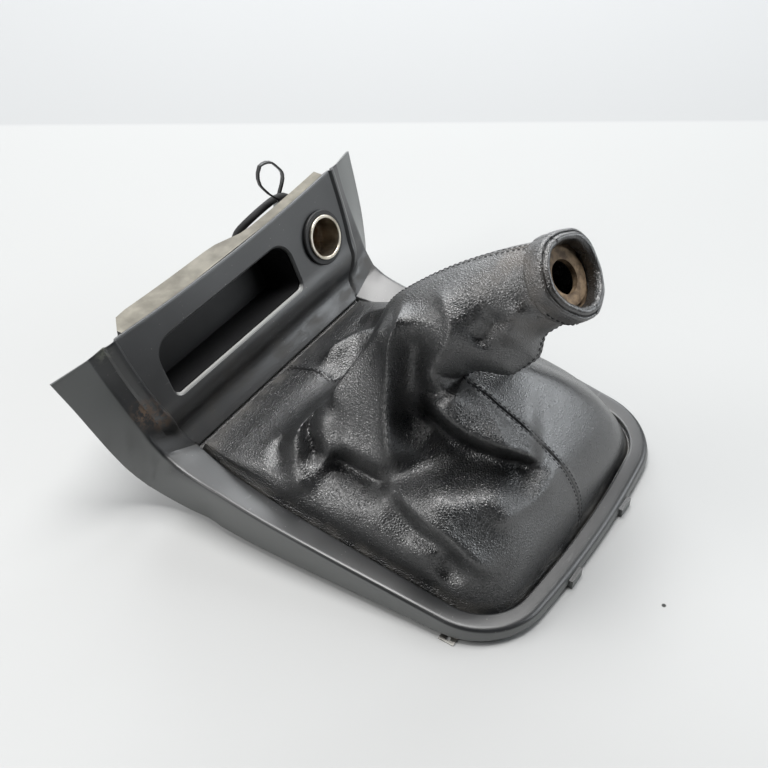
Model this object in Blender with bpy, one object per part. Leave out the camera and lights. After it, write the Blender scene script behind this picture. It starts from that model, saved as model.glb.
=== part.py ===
"""Gear shift surround: moulded surround with a cubby and a 12 V socket, and a leather lever gaiter.

Metres, +Z up, +Y to the front of the car, +X to its right side.
"""
import math

import bmesh
import bpy
import numpy as np
from mathutils import Matrix, Vector

# Stance: the skirt's lower edge is LIFT above the table, on its tabs and spring clips
LIFT = 0.0030
FRONT_REACH = 0.2498
REAR_REACH = -0.0034

# Clearance that touching pieces keep
FIT = 0.0003

# Opening for the gaiter, seen from above, in a plane that rises to the front
OPENING_HALF_WIDTH = 0.0785
OPENING_REAR_Y = 0.0075
OPENING_FRONT_Y = 0.1900
OPENING_FRONT_HALF_WIDTH = 0.0710
OPENING_CORNER_RADIUS = 0.0260
OPENING_REAR_BOW = 0.0028
OPENING_REAR_Z = 0.0055
OPENING_FRONT_Z = 0.0200
TAPER_START_Y = 0.0600
TAPER_POWER = 4.5
REAR_STEPS = 6
CORNER_STEPS = 9
SIDE_STEPS = 9
SILL_STEPS = 12

# Rim and skirt of the surround
SHELL_WALL = 0.0022
RIM_WIDTH_REAR = 0.0085
RIM_WIDTH_FRONT = 0.0175
RIM_RISE_REAR = -0.0006
RIM_RISE_FRONT = 0.0046
RIM_FRONT_Y = 0.1600
SKIRT_FLARE = 0.0013
LIP_ROUND = 0.0007

# Front panel between the wings
PANEL_TOP_Y = 0.2194
PANEL_TOP_Z = 0.0881
PANEL_LEAN = math.radians(22.9)
PANEL_TOP_HALF_WIDTH = 0.0864
PANEL_SIDE_BULGE = 0.0030
PANEL_TOP_SAG = 0.0026
PANEL_COLUMNS = 18
NOSE_Z = 0.0425
NOSE_OUT = 0.0010
NOSE_HEIGHT = 0.0040
HOLLOW_Z = 0.0285
HOLLOW_DEPTH = 0.0042
HOLLOW_HEIGHT = 0.0065

# Bend of the rim into the wing, out from the opening's side: crease, and lower edge
BEND_CREASE = ((0.0178, 0.1620, 0.0223), (0.0194, 0.1750, 0.0236), (0.0213, 0.1860, 0.0262))
BEND_EDGE = ((0.0185, 0.1650, 0.0000), (0.0217, 0.1800, 0.0003), (0.0268, 0.1910, 0.0045))

# Wing up to its tip: crease, and lower edge
WING_CREASE = (
    (0.0930, 0.1935, 0.0300), (0.0942, 0.2000, 0.0375), (0.0957, 0.2058, 0.0470),
    (0.0972, 0.2115, 0.0565), (0.0988, 0.2180, 0.0685), (0.1005, 0.2240, 0.0830),
)
WING_EDGE = (
    (0.1010, 0.2000, 0.0110), (0.1045, 0.2060, 0.0195), (0.1090, 0.2105, 0.0325),
    (0.1130, 0.2155, 0.0470), (0.1165, 0.2215, 0.0620), (0.1210, 0.2295, 0.0795),
)

WING_ROWS = (
    0.0, 0.03, 0.07, 0.12, 0.17, 0.22, 0.27, 0.31, 0.345, 0.38, 0.43, 0.52, 0.64, 0.76, 0.88, 1.0,
)
CURVE_STEPS = 200

# Cubby in the front panel, measured on the panel from its top line
CUBBY_LEFT = -0.0690
CUBBY_RIGHT = 0.0360
CUBBY_TOP_DOWN = 0.0164
CUBBY_BOTTOM_DOWN = 0.0450
CUBBY_TOP_RADIUS = 0.0107
CUBBY_BOTTOM_RADIUS = 0.0040
CUBBY_DEPTH = 0.0250
BIN_WALL = 0.0018
ROUND_STEPS = 5

# Carrier behind the panel: plate, and the shelf that shows behind the panel's top edge
PLATE_HALF_WIDTH = 0.0790
PLATE_TOP_DOWN = 0.0030
PLATE_BOTTOM_DOWN = 0.0500
SHELF_LEFT = -0.0800
SHELF_RIGHT = 0.0840
SHELF_STEP_X = 0.0100
SHELF_WIDE = 0.0125
SHELF_NARROW = 0.0060
SHELF_THICK = 0.0018
SHELF_STATIONS = 22
SHELF_LEAST_REACH = 0.08

# Socket, measured on the panel: centre, then radii and lengths along its axis
SOCKET_X = 0.0631
SOCKET_DOWN = 0.0293
SOCKET_BORE_RADIUS = 0.0107
BARREL_WALL = 0.0007
BARREL_RIM_RADIUS = 0.0125
BARREL_LENGTH = 0.0340
SLEEVE_WALL = 0.0016
BEZEL_RADIUS = 0.0154
BEZEL_THICK = 0.0014
BEZEL_SEAT = 0.0006
RETAINER_RADIUS = 0.0175
RETAINER_LENGTH = 0.0060
CONTACT_RADIUS = 0.0038
TERMINAL_LENGTH = 0.0120
TERMINAL_WIDTH = 0.0063
TERMINAL_THICK = 0.0008

# Gaiter
LEATHER = 0.0010
FRAME_THICK = 0.0018
NECK_ROOT = (-0.0080, 0.0880, 0.0990)
NECK_ROOT_AXIS = (0.15, -0.70, 0.70)
NECK_ROOT_RADIUS = 0.0240
COLLAR = (0.0048, 0.0358, 0.1430)
COLLAR_AXIS = (-0.030, -0.752, 0.658)
COLLAR_RADIUS = 0.0180
COLLAR_FOOT = -0.0050
LEVER_HOLE_RADIUS = 0.0078
GAITER_AROUND = 66
GAITER_CROWD = 0.35
GAITER_CROWD_SHARE = 0.72
GAITER_BODY_ROWS = 22
GAITER_NECK_ROWS = 7
GAITER_SMOOTHING = 2
LEAST_FOLD = 0.0036
FOLD_STEPS = 36

# Screws and bosses
BOSS_RADIUS = 0.0029
PILOT_RADIUS = 0.0014
SCREW_HEAD_RADIUS = 0.0034
SCREW_HEAD = 0.0020
WASHER_THICK = 0.0007
FRAME_BOSS_TOP = 0.0004
FRAME_SCREW_YS = (0.0940, 0.1450)
FRAME_EAR_LENGTH = 0.0060

# Tabs, hooks and spring clips under the skirt
TAB_WIDTH = 0.0100
TAB_THICK = 0.0022
REAR_TAB_X = 0.0270
SKIRT_REAR_TOP = 0.0020
HOOK_THICK = 0.0012
FRAME_HOOK_LOW = -0.0025
SIDE_TAB_X = OPENING_HALF_WIDTH + 0.0140
SIDE_TAB_Y = 0.1250
SIDE_TAB_TOP = 0.0050
CLIP_Y = 0.0310
CLIP_LENGTH = 0.0080
CLIP_THICK = 0.0006
CLIP_POST_X = OPENING_HALF_WIDTH + 0.0072
CLIP_POST_THICK = 0.0010
CLIP_POST_TOP = 0.0068
CLIP_LEG_TOP = -0.0010
CLIP_TONGUE_X = CLIP_POST_X + 0.0055
CLIP_HOLE_X = CLIP_POST_X + 0.0032
CLIP_HOLE_RADIUS = 0.0013

# Small sizes of the socket, its plug, its lead and the tie
CONTACT_SHANK = 0.0022
INSULATOR_THICK = 0.0015
SIDE_CONTACT_WIDTH = 0.0044
SIDE_CONTACT_REACH = 0.0105
TERMINAL_PITCH = 0.0065
PLUG_STANDOFF = 0.0035
PLUG_LENGTH = 0.0120
PLUG_SIDE = 0.0030
PLUG_HALF_HEIGHT = 0.0055
LEAD_RADIUS = 0.0022
LEAD_POINTS = 24
CONNECTOR_SIZE = (0.0110, 0.0085, 0.0170)
CONNECTOR_WALL = 0.0012
TIE_WIDTH = 0.0024
TIE_THICK = 0.0011
TIE_STEP = 0.0030
TIE_FACING = (-0.35, -0.90, 0.20)
SHELF_LIP = 0.0030
SHELF_STEP_EASE = 0.0040

MM = 0.001

# Routes in millimetres: the lead from the plug to its connector, and the tie's loop
LEAD_ROUTE = (
    (59.2, 248.6, 45.0), (54, 250, 46), (46, 251.5, 50), (38.5, 250, 58), (36, 245, 67), (41, 240, 74),
    (51, 238.5, 76.5), (62, 238.8, 76), (72, 240, 71.5), (79, 241, 63), (81, 241.5, 55),
)
TIE_ROUTE = (
    (60, 233.6, 76.5), (53, 236.5, 86), (48, 238, 96), (50, 238.5, 103), (58, 239, 102), (67, 240, 94),
    (74, 242, 84), (75, 244.5, 75), (70, 244, 68.5), (64, 240.5, 69), (60.5, 235.2, 71.0),
)

# Leather rows at the hem and the collar, in millimetres: reach out from the edge, and level
HEM_ROWS = ((4.6, -2.7), (-0.6, -2.7), (-1.6, -1.2), (-2.4, 1.0))
COLLAR_ROWS = (
    (18.3, -4.4), (19.8, -3.6), (20.2, 0.0), (20.1, 5.0), (19.0, 7.2), (17.0, 8.1), (15.0, 7.2),
    (14.3, 4.8), (14.2, 1.2),
)
FRAME_IN = 0.0020
FRAME_OUT = 0.0052
FRAME_EAR = 0.0110
NECK_SLACK = 0.0015
RING_FACE = 0.0009
RING_STEP = 0.0012
RING_WALL = 0.0016
RING_LENGTH = 0.0045

# Section lines of the leather in millimetres, by turn from the rear seam to the right,
# from hem to neck
GAITER_LINES = {
    0: ((-1, 13, 26), (-5, 22, 45), (-10, 40, 63), (-13, 57, 75)),
    30: ((50, 14, 24), (42, 24, 44), (28, 40, 64), (10, 57, 80)),
    52: ((73, 38, 24), (62, 44, 42), (45, 55, 60), (25, 68, 78)),
    96: ((74, 111, 30), (62, 106, 50), (46, 100, 70), (28, 94, 86)),
    140: ((66, 174, 27), (56, 156, 38), (42, 138, 60), (24, 120, 88)),
    180: ((0, 170, 27), (-2, 149, 33), (-2, 133, 60), (-3, 120, 96)),
    205: ((-42, 172, 25), (-36, 151, 33), (-27, 133, 58), (-14, 118, 95)),
    220: ((-66, 172, 24), (-57, 150, 32), (-42, 129, 58), (-26, 112, 91)),
    245: ((-72, 138, 25), (-62, 121, 36), (-49, 111, 60), (-36, 102, 87)),
    264: ((-73, 105, 26), (-62, 92, 38), (-49, 90, 54), (-36, 90, 81)),
    282: ((-73, 72, 28), (-62, 66, 46), (-40, 74, 54), (-32, 78, 78)),
    305: ((-73, 42, 26), (-60, 46, 46), (-38, 56, 53), (-29, 60, 70)),
    325: ((-57, 18, 26), (-45, 28, 46), (-30, 38, 56), (-24, 50, 70)),
    345: ((-25, 14, 26), (-22, 24, 46), (-19, 38, 60), (-19, 54, 75)),
}

# Directions of the folds: out of the left rear side, along it to the rear, and up it
FOLD_OUT = (-0.613, -0.409, 0.676)
FOLD_REARWARD = (0.555, -0.832, 0.000)
FOLD_UP = (0.562, 0.375, 0.737)
REARWARD = (0, 1, 0)
UPWARD = (0, 0, 1)

# Folds in millimetres: line, push and wide side in those directions, widths on the wide side
# and on the other, 1 for a crease or 2 for a roll, and the share over which the ends fade
GAITER_FOLDS = (
    (((-17, 101, 117), (-25, 100, 111), (-31, 100, 100), (-36, 98, 87), (-42, 95, 71), (-48, 90, 56),
      (-56, 83, 45)),
     (5, -1, 0), REARWARD, 14, 12, 1.2, 0.20),
    (((-26, 84, 118), (-31, 86, 104), (-36, 86, 88), (-39, 84, 72), (-38, 72, 62)),
     (-5, 0, 0), UPWARD, 9, 9, 2.0, 0.30),
    (((-13, 88, 128), (-21, 80, 126), (-25, 74, 120), (-27, 73, 114), (-29, 75, 107), (-30, 79, 95),
      (-32, 81, 82)),
     (3, 0, 0), REARWARD, 9, 4, 1.2, 0.20),
    (((-32, 81, 82), (-32, 79, 78), (-32, 70, 71), (-30, 57, 65), (-27, 45, 62), (-21, 36, 57),
      (-12, 27, 51)),
     (8, 0, 0), UPWARD, 11, 3, 1.3, 0.12),
    (((-33, 84, 84), (-33, 81, 77), (-33, 72, 67), (-32, 58, 61), (-29, 44, 59), (-22, 32, 54),
      (-15, 25, 48)),
     (-8, 0, 0), UPWARD, 3, 8, 1.5, 0.15),
    (((-12, 27, 51), (-14, 22, 44), (-27, 22, 42), (-40, 24, 44), (-56, 32, 42)),
     (3, 0, 0), UPWARD, 8, 4, 1.3, 0.20),
    (((-60, 71, 46), (-58, 56, 48), (-48, 41, 49), (-32, 29, 51)), (5, 0, 1), UPWARD, 12, 12, 2.0, 0.30),
    (((-57, 82, 45), (-64, 70, 43), (-67, 58, 41), (-68, 47, 39), (-67, 38, 33), (-66, 29, 27),
      (-65, 21, 20)),
     (5, 0, 0), UPWARD, 7, 3, 1.1, 0.20),
    (((-60, 84, 42), (-67, 72, 39), (-70, 60, 35), (-71, 48, 33), (-71, 38, 26), (-70, 29, 20)),
     (-5, 0, 0), UPWARD, 3, 7, 1.6, 0.25),
    (((-59, 82, 43), (-59, 89, 41), (-59, 98, 42), (-59, 109, 42), (-58, 119, 43)),
     (-9, 0, 0), UPWARD, 4, 8, 1.6, 0.15),
    (((-58, 86, 48), (-57, 98, 49), (-56, 109, 50), (-55, 118, 50)), (3, 0, 0), UPWARD, 8, 3, 1.5, 0.20),
    (((-24, 101, 110), (-25, 110, 95), (-28, 117, 83), (-36, 122, 70), (-45, 128, 58)),
     (3, -3, 0), REARWARD, 9, 4, 1.4, 0.20),
    (((-15, 112, 103), (-16, 122, 86), (-20, 130, 72), (-30, 138, 58), (-40, 142, 48)),
     (0, 0, -9), REARWARD, 4, 9, 1.6, 0.20),
    (((-40, 143, 46), (-54, 140, 41), (-60, 136, 37), (-67, 131, 31), (-73, 122, 24)),
     (7, 0, 0), REARWARD, 5, 5, 1.3, 0.20),
    (((-50, 152, 33), (-62, 146, 31), (-70, 138, 27)), (-4, 0, 0), REARWARD, 4, 4, 1.6, 0.30),
    (((-40, 140, 50), (-50, 136, 47), (-58, 128, 42), (-64, 122, 36)),
     (-7, 0, 0), REARWARD, 4, 4, 1.6, 0.20),
    (((6, 172, 27), (18, 166, 29), (30, 161, 32), (34, 150, 40)), (3, -1, 4), UPWARD, 4, 4, 1.5, 0.30),
    (((-6, 160, 29), (4, 158, 31), (14, 154, 33), (20, 146, 42)), (-3, 1, -3), UPWARD, 4, 4, 1.5, 0.30),
    (((48, 172, 28), (50, 160, 34), (44, 150, 46)), (3, -1, 3), UPWARD, 6, 6, 1.6, 0.30),
    (((-76, 67, 27), (-74, 50, 30), (-66, 40, 34)), (3, 0, 0), UPWARD, 5, 5, 1.8, 0.30),
    (((8, 44, 116), (2, 52, 108), (-8, 60, 100), (-18, 66, 92)), (0, 7, -8), UPWARD, 14, 14, 2.0, 0.35),
    (((-24, 63, 113), (-20, 56, 124), (-17, 54, 132)), (-4, 0, 0), REARWARD, 4, 5, 1.6, 0.25),
)


def remove_everything():
    for item in list(bpy.data.objects):
        bpy.data.objects.remove(item, do_unlink=True)


def material(name, color, roughness, metallic=0.0):
    made = bpy.data.materials.new(name)
    made.use_nodes = True
    shader = made.node_tree.nodes["Principled BSDF"]
    shader.inputs["Base Color"].default_value = (*color, 1.0)
    shader.inputs["Roughness"].default_value = roughness
    shader.inputs["Metallic"].default_value = metallic
    return made


remove_everything()

SATIN_PLASTIC = material("satin_plastic", (0.055, 0.057, 0.062), 0.45)
BLACK_PLASTIC = material("black_plastic", (0.012, 0.012, 0.013), 0.50)
TAN_PLASTIC = material("tan_plastic", (0.260, 0.190, 0.120), 0.75)
LEATHER_BLACK = material("leather_black", (0.020, 0.021, 0.024), 0.42)
NICKEL = material("nickel_plate", (0.620, 0.560, 0.460), 0.30, 1.0)
SPRING_STEEL = material("spring_steel", (0.450, 0.440, 0.420), 0.38, 1.0)
CABLE_BLACK = material("cable_black", (0.018, 0.018, 0.019), 0.60)
BROWN_BOARD = material("brown_board", (0.170, 0.085, 0.040), 0.70)

STANCE = bpy.data.objects.new("stance", None)
bpy.context.scene.collection.objects.link(STANCE)
STANCE.location = (0.0, -(FRONT_REACH + REAR_REACH) / 2, LIFT)

PANEL_PLACE = (
    Matrix.Translation((0.0, PANEL_TOP_Y, PANEL_TOP_Z))
    @ Matrix.Rotation(math.pi / 2 - PANEL_LEAN, 4, "X")
)
SOCKET_PLACE = PANEL_PLACE @ Matrix.Translation((SOCKET_X, -SOCKET_DOWN, 0.0))


def add_mesh(name, points, faces, finish, place=None, cutter=False, skin=False):
    """A mesh under the stance; a closed one has its faces turned outward, a skin keeps its own."""
    mesh = bpy.data.meshes.new(name)
    mesh.from_pydata([tuple(p) for p in points], [], [tuple(f) for f in faces])
    if not skin:
        work = bmesh.new()
        work.from_mesh(mesh)
        bmesh.ops.recalc_face_normals(work, faces=work.faces)
        work.to_mesh(mesh)
        work.free()
    mesh.shade_smooth()
    mesh.set_sharp_from_angle(angle=math.radians(35))
    mesh.materials.append(finish)
    made = bpy.data.objects.new(name, mesh)
    bpy.context.scene.collection.objects.link(made)
    made.parent = STANCE
    if place is not None:
        made.matrix_local = place
    if cutter:
        made.hide_render = True
        made.display_type = "WIRE"
    return made


def combine(target, tool, operation="DIFFERENCE"):
    step = target.modifiers.new(tool.name, "BOOLEAN")
    step.operation = operation
    step.object = tool
    return step


def even_triangles(target):
    """Split the cut faces into well-shaped triangles."""
    split = target.modifiers.new("even_triangles", "TRIANGULATE")
    split.quad_method = "BEAUTY"
    split.ngon_method = "BEAUTY"


def tube_faces(rows, around, closed_rows=False):
    """Quads between rings of points; with closed_rows the last ring joins the first."""
    faces = []
    for row in range(rows if closed_rows else rows - 1):
        for k in range(around):
            a = row * around + k
            b = row * around + (k + 1) % around
            c = ((row + 1) % rows) * around + (k + 1) % around
            d = ((row + 1) % rows) * around + k
            faces.append((a, b, c, d))
    return faces


def turned(name, profile, finish, place, around=32, cutter=False):
    """A turned piece: profile points (radius, along) from axis to axis, or a closed section."""
    solid = profile[0][0] == 0.0
    rings = profile[1:-1] if solid else profile
    points = []
    for radius, along in rings:
        for k in range(around):
            turn = 2 * math.pi * k / around
            points.append((radius * math.cos(turn), radius * math.sin(turn), along))
    faces = tube_faces(len(rings), around, closed_rows=not solid)
    if solid:
        faces.append(tuple(reversed(range(around))))
        faces.append(tuple(range(len(points) - around, len(points))))
    return add_mesh(name, points, faces, finish, place, cutter)


def block(name, low, high, finish, place=None, cutter=False):
    """A box from its low corner to its high corner."""
    (x0, y0, z0), (x1, y1, z1) = low, high
    points = [
        (x0, y0, z0), (x1, y0, z0), (x1, y1, z0), (x0, y1, z0),
        (x0, y0, z1), (x1, y0, z1), (x1, y1, z1), (x0, y1, z1),
    ]
    faces = [(0, 3, 2, 1), (4, 5, 6, 7), (0, 1, 5, 4), (1, 2, 6, 5), (2, 3, 7, 6), (3, 0, 4, 7)]
    return add_mesh(name, points, faces, finish, place, cutter)


def prism(name, outline, low, high, finish, place=None, cutter=False):
    """An outline of (x, y) points, extruded from low to high along z."""
    count = len(outline)
    points = [(x, y, low) for x, y in outline] + [(x, y, high) for x, y in outline]
    faces = [tuple(reversed(range(count))), tuple(range(count, 2 * count))]
    faces += tube_faces(2, count)
    return add_mesh(name, points, faces, finish, place, cutter)


def rounded_box(left, right, bottom, top, bottom_radius, top_radius):
    """Outline of an upright box with its own radius for the lower and the upper corners."""
    outline = []
    corners = (
        (right, bottom, -1, 1, bottom_radius, -90), (right, top, -1, -1, top_radius, 0),
        (left, top, 1, -1, top_radius, 90), (left, bottom, 1, 1, bottom_radius, 180),
    )
    for x, y, inward_x, inward_y, radius, start in corners:
        for k in range(ROUND_STEPS + 1):
            turn = math.radians(start + 90 * k / ROUND_STEPS)
            outline.append((
                x + inward_x * radius + radius * math.cos(turn),
                y + inward_y * radius + radius * math.sin(turn),
            ))
    return outline


def smooth_curve(points, count):
    """Evenly spaced points of a smooth curve through the given points."""
    points = np.asarray(points, float)
    lengths = np.linalg.norm(np.diff(points, axis=0), axis=1)
    knots = np.concatenate([[0.0], np.cumsum(lengths)]) / lengths.sum()
    slopes = np.gradient(points, knots, axis=0)
    made = []
    for where in np.linspace(0.0, 1.0, count):
        k = min(int(np.searchsorted(knots, where, side="right")) - 1, len(points) - 2)
        span = knots[k + 1] - knots[k]
        f = (where - knots[k]) / span
        made.append(
            (2 * f**3 - 3 * f**2 + 1) * points[k] + (f**3 - 2 * f**2 + f) * span * slopes[k]
            + (3 * f**2 - 2 * f**3) * points[k + 1] + (f**3 - f**2) * span * slopes[k + 1]
        )
    return np.array(made)


def opening_z(y):
    """Height of the plane of the gaiter's opening."""
    share = (y - OPENING_REAR_Y) / (OPENING_FRONT_Y - OPENING_REAR_Y)
    return OPENING_REAR_Z + (OPENING_FRONT_Z - OPENING_REAR_Z) * share


def opening_side_x(y):
    taper = max(y - TAPER_START_Y, 0.0) / (OPENING_FRONT_Y - TAPER_START_Y)
    return OPENING_HALF_WIDTH - (OPENING_HALF_WIDTH - OPENING_FRONT_HALF_WIDTH) * taper**TAPER_POWER


def opening_half():
    """Right half of the opening: (x, y, outward x, outward y) from the rear middle to the sill."""
    centre_x = OPENING_HALF_WIDTH - OPENING_CORNER_RADIUS
    slope = math.atan(2 * OPENING_REAR_BOW / centre_x)
    bow_end_x = centre_x + OPENING_CORNER_RADIUS * math.sin(slope)
    centre_y = OPENING_REAR_Y + OPENING_REAR_BOW + OPENING_CORNER_RADIUS * math.cos(slope)
    points = []
    for k in range(REAR_STEPS):
        share = k / REAR_STEPS
        turn = slope * share
        y = OPENING_REAR_Y + OPENING_REAR_BOW * share**2
        points.append((bow_end_x * share, y, math.sin(turn), -math.cos(turn)))
    for k in range(CORNER_STEPS):
        turn = slope - math.pi / 2 + (math.pi / 2 - slope) * k / CORNER_STEPS
        out_x = math.cos(turn)
        out_y = math.sin(turn)
        points.append((
            centre_x + OPENING_CORNER_RADIUS * out_x, centre_y + OPENING_CORNER_RADIUS * out_y,
            out_x, out_y,
        ))
    for k in range(SIDE_STEPS + 1):
        y = centre_y + (OPENING_FRONT_Y - centre_y) * k / SIDE_STEPS
        points.append((opening_side_x(y), y, 1.0, 0.0))
    return points


def panel_y(z):
    """Section of the front panel: a leaning flat, a rounded nose, a hollow and the sill."""
    flat = PANEL_TOP_Y - (PANEL_TOP_Z - z) * math.tan(PANEL_LEAN)
    nose = NOSE_OUT * math.exp(-(((z - NOSE_Z) / NOSE_HEIGHT) ** 2))
    hollow = HOLLOW_DEPTH * math.exp(-(((z - HOLLOW_Z) / HOLLOW_HEIGHT) ** 2))
    return flat - nose + hollow


def panel_half_width(z):
    share = (z - OPENING_FRONT_Z) / (PANEL_TOP_Z - OPENING_FRONT_Z)
    straight = OPENING_FRONT_HALF_WIDTH + (PANEL_TOP_HALF_WIDTH - OPENING_FRONT_HALF_WIDTH) * share
    return straight + PANEL_SIDE_BULGE * math.sin(math.pi * share)


def wing_heights():
    return [OPENING_FRONT_Z + (PANEL_TOP_Z - OPENING_FRONT_Z) * share for share in WING_ROWS]


def rim_half():
    """Right half of the rim: lists of inner edge, outer crease and lower edge, rear middle to tip."""
    inner = []
    crease = []
    edge = []
    for x, y, out_x, out_y in opening_half():
        share = min(max((y - OPENING_REAR_Y) / (RIM_FRONT_Y - OPENING_REAR_Y), 0.0), 1.0)
        if y > RIM_FRONT_Y:
            break
        width = RIM_WIDTH_REAR + (RIM_WIDTH_FRONT - RIM_WIDTH_REAR) * share
        rise = RIM_RISE_REAR + (RIM_RISE_FRONT - RIM_RISE_REAR) * share
        crease_y = y + out_y * width
        inner.append((x, y, opening_z(y)))
        crease.append((x + out_x * width, crease_y, opening_z(crease_y) + rise))
        wide = width + SKIRT_FLARE
        edge.append((x + out_x * wide, y + out_y * wide, 0.0))
    sill_y = inner[-1][1]
    bend = len(BEND_CREASE)
    for k in range(bend):
        y = sill_y + (OPENING_FRONT_Y - sill_y) * (k + 1) / (bend + 1)
        inner.append((opening_side_x(y), y, opening_z(y)))
    crease += [(opening_side_x(y) + out, y, z) for out, y, z in BEND_CREASE]
    edge += [(opening_side_x(y) + out, y, z) for out, y, z in BEND_EDGE]
    for z in wing_heights():
        inner.append((panel_half_width(z), panel_y(z), z))
    crease += [tuple(p) for p in at_shares(WING_CREASE, WING_ROWS)]
    edge += [tuple(p) for p in at_shares(WING_EDGE, WING_ROWS)]
    return inner, crease, edge


def at_shares(points, shares):
    """Points of a smooth curve at given shares of its knots."""
    fine = smooth_curve(points, CURVE_STEPS + 1)
    return [fine[int(round(share * CURVE_STEPS))] for share in shares]


def surround_skin():
    """Outer skin of the moulding, open at its edges: rim, skirt, wings and front panel."""
    inner, crease, edge = rim_half()
    half = len(inner)
    lip = []
    for (x, y, z), (cx, cy, cz) in zip(inner, crease):
        toward = Vector((x - cx, y - cy, 0.0)).normalized() * LIP_ROUND
        lip.append((x + toward.x, y + toward.y, z - LIP_ROUND))
    columns = []
    first_wing = half - len(WING_ROWS)
    order = [(-1, k) for k in range(half - 1, 0, -1)] + [(1, k) for k in range(half)]
    points = []
    for side, k in order:
        middle = (Vector(crease[k]) + Vector(edge[k])) / 2
        between = (Vector(crease[k]) + Vector(inner[k])) / 2
        run = [edge[k], tuple(middle), crease[k], tuple(between), inner[k]]
        column = []
        for x, y, z in run:
            column.append(len(points))
            points.append((side * x, y, z))
        columns.append(column)
    faces = []
    for before, after in zip(columns, columns[1:]):
        for a, b in zip(range(4), range(1, 5)):
            faces.append((before[a], after[a], after[b], before[b]))
    # Rounded inner lip around the opening, from sill to sill along the rim
    count = len(columns)
    wing = len(WING_ROWS)
    lip_index = []
    for position in range(wing - 1, count - wing + 1):
        side, k = order[position]
        x, y, z = lip[k]
        lip_index.append(len(points))
        points.append((side * x, y, z))
    for n in range(len(lip_index) - 1):
        position = wing - 1 + n
        faces.append((columns[position][4], columns[position + 1][4], lip_index[n + 1], lip_index[n]))
    # Front panel: rows from the sill to the top edge, columns from wing to wing
    across = PANEL_COLUMNS
    previous = None
    for row in range(wing):
        left = columns[wing - 1 - row][4]
        right = columns[count - wing + row][4]
        z = wing_heights()[row]
        half_width = panel_half_width(z)
        line = [left]
        for n in range(1, across):
            x = half_width * (2 * n / across - 1)
            high = max(z - NOSE_Z, 0.0) / (PANEL_TOP_Z - NOSE_Z)
            sag = PANEL_TOP_SAG * high * (1 - (x / half_width) ** 2)
            line.append(len(points))
            points.append((x, panel_y(z - sag), z - sag))
        line.append(right)
        if previous:
            for n in range(across):
                faces.append((previous[n], previous[n + 1], line[n + 1], line[n]))
        else:
            sill = line
        previous = line
    # Rounded lip along the sill
    under = [lip_index[0]]
    for n in range(1, across):
        x, y, z = points[sill[n]]
        under.append(len(points))
        points.append((x, y - LIP_ROUND, z - LIP_ROUND))
    under.append(lip_index[-1])
    for n in range(across):
        faces.append((sill[n + 1], sill[n], under[n], under[n + 1]))
    return points, faces


def make_surround():
    points, faces = surround_skin()
    made = add_mesh("surround", points, faces, SATIN_PLASTIC, skin=True)
    wall = made.modifiers.new("wall", "SOLIDIFY")
    wall.thickness = SHELL_WALL
    wall.offset = -1.0
    wall.use_even_offset = True
    return made


PANEL_BACK = -(SHELL_WALL + FIT)
PLATE_BACK = PANEL_BACK - BIN_WALL
CUBBY_OUTLINE = (CUBBY_LEFT, CUBBY_RIGHT, -CUBBY_BOTTOM_DOWN, -CUBBY_TOP_DOWN)
BARREL_RADIUS = SOCKET_BORE_RADIUS + BARREL_WALL
SLEEVE_BORE = BARREL_RADIUS + FIT
SLEEVE_RADIUS = SLEEVE_BORE + SLEEVE_WALL
SLEEVE_END = -(BARREL_LENGTH + SLEEVE_WALL)


def bin_screw_places():
    """Screws of the carrier, on the panel: two left of the cubby and two right of it."""
    clear = BIN_WALL + SCREW_HEAD_RADIUS + 2 * FIT
    beside = CUBBY_LEFT - clear
    between = CUBBY_RIGHT + clear
    low = BOSS_RADIUS + 5 * FIT - PLATE_BOTTOM_DOWN
    high = -(PLATE_TOP_DOWN + 3 * BOSS_RADIUS)
    return ((beside, high), (beside, low), (between, high), (between, low))


def frame_screw_places():
    """Screws of the gaiter frame, in the plane of the opening: two on each side."""
    places = []
    for side in (-1, 1):
        for y in FRAME_SCREW_YS:
            x = side * (opening_side_x(y) + FRAME_EAR - BOSS_RADIUS)
            tilt = math.atan2(OPENING_FRONT_Z - OPENING_REAR_Z, OPENING_FRONT_Y - OPENING_REAR_Y)
            places.append(Matrix.Translation((x, y, opening_z(y))) @ Matrix.Rotation(tilt, 4, "X"))
    return places


FRAME_TOP = -(SHELL_WALL + LEATHER + 3 * FIT)
FRAME_BOTTOM = FRAME_TOP - FRAME_THICK


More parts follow.
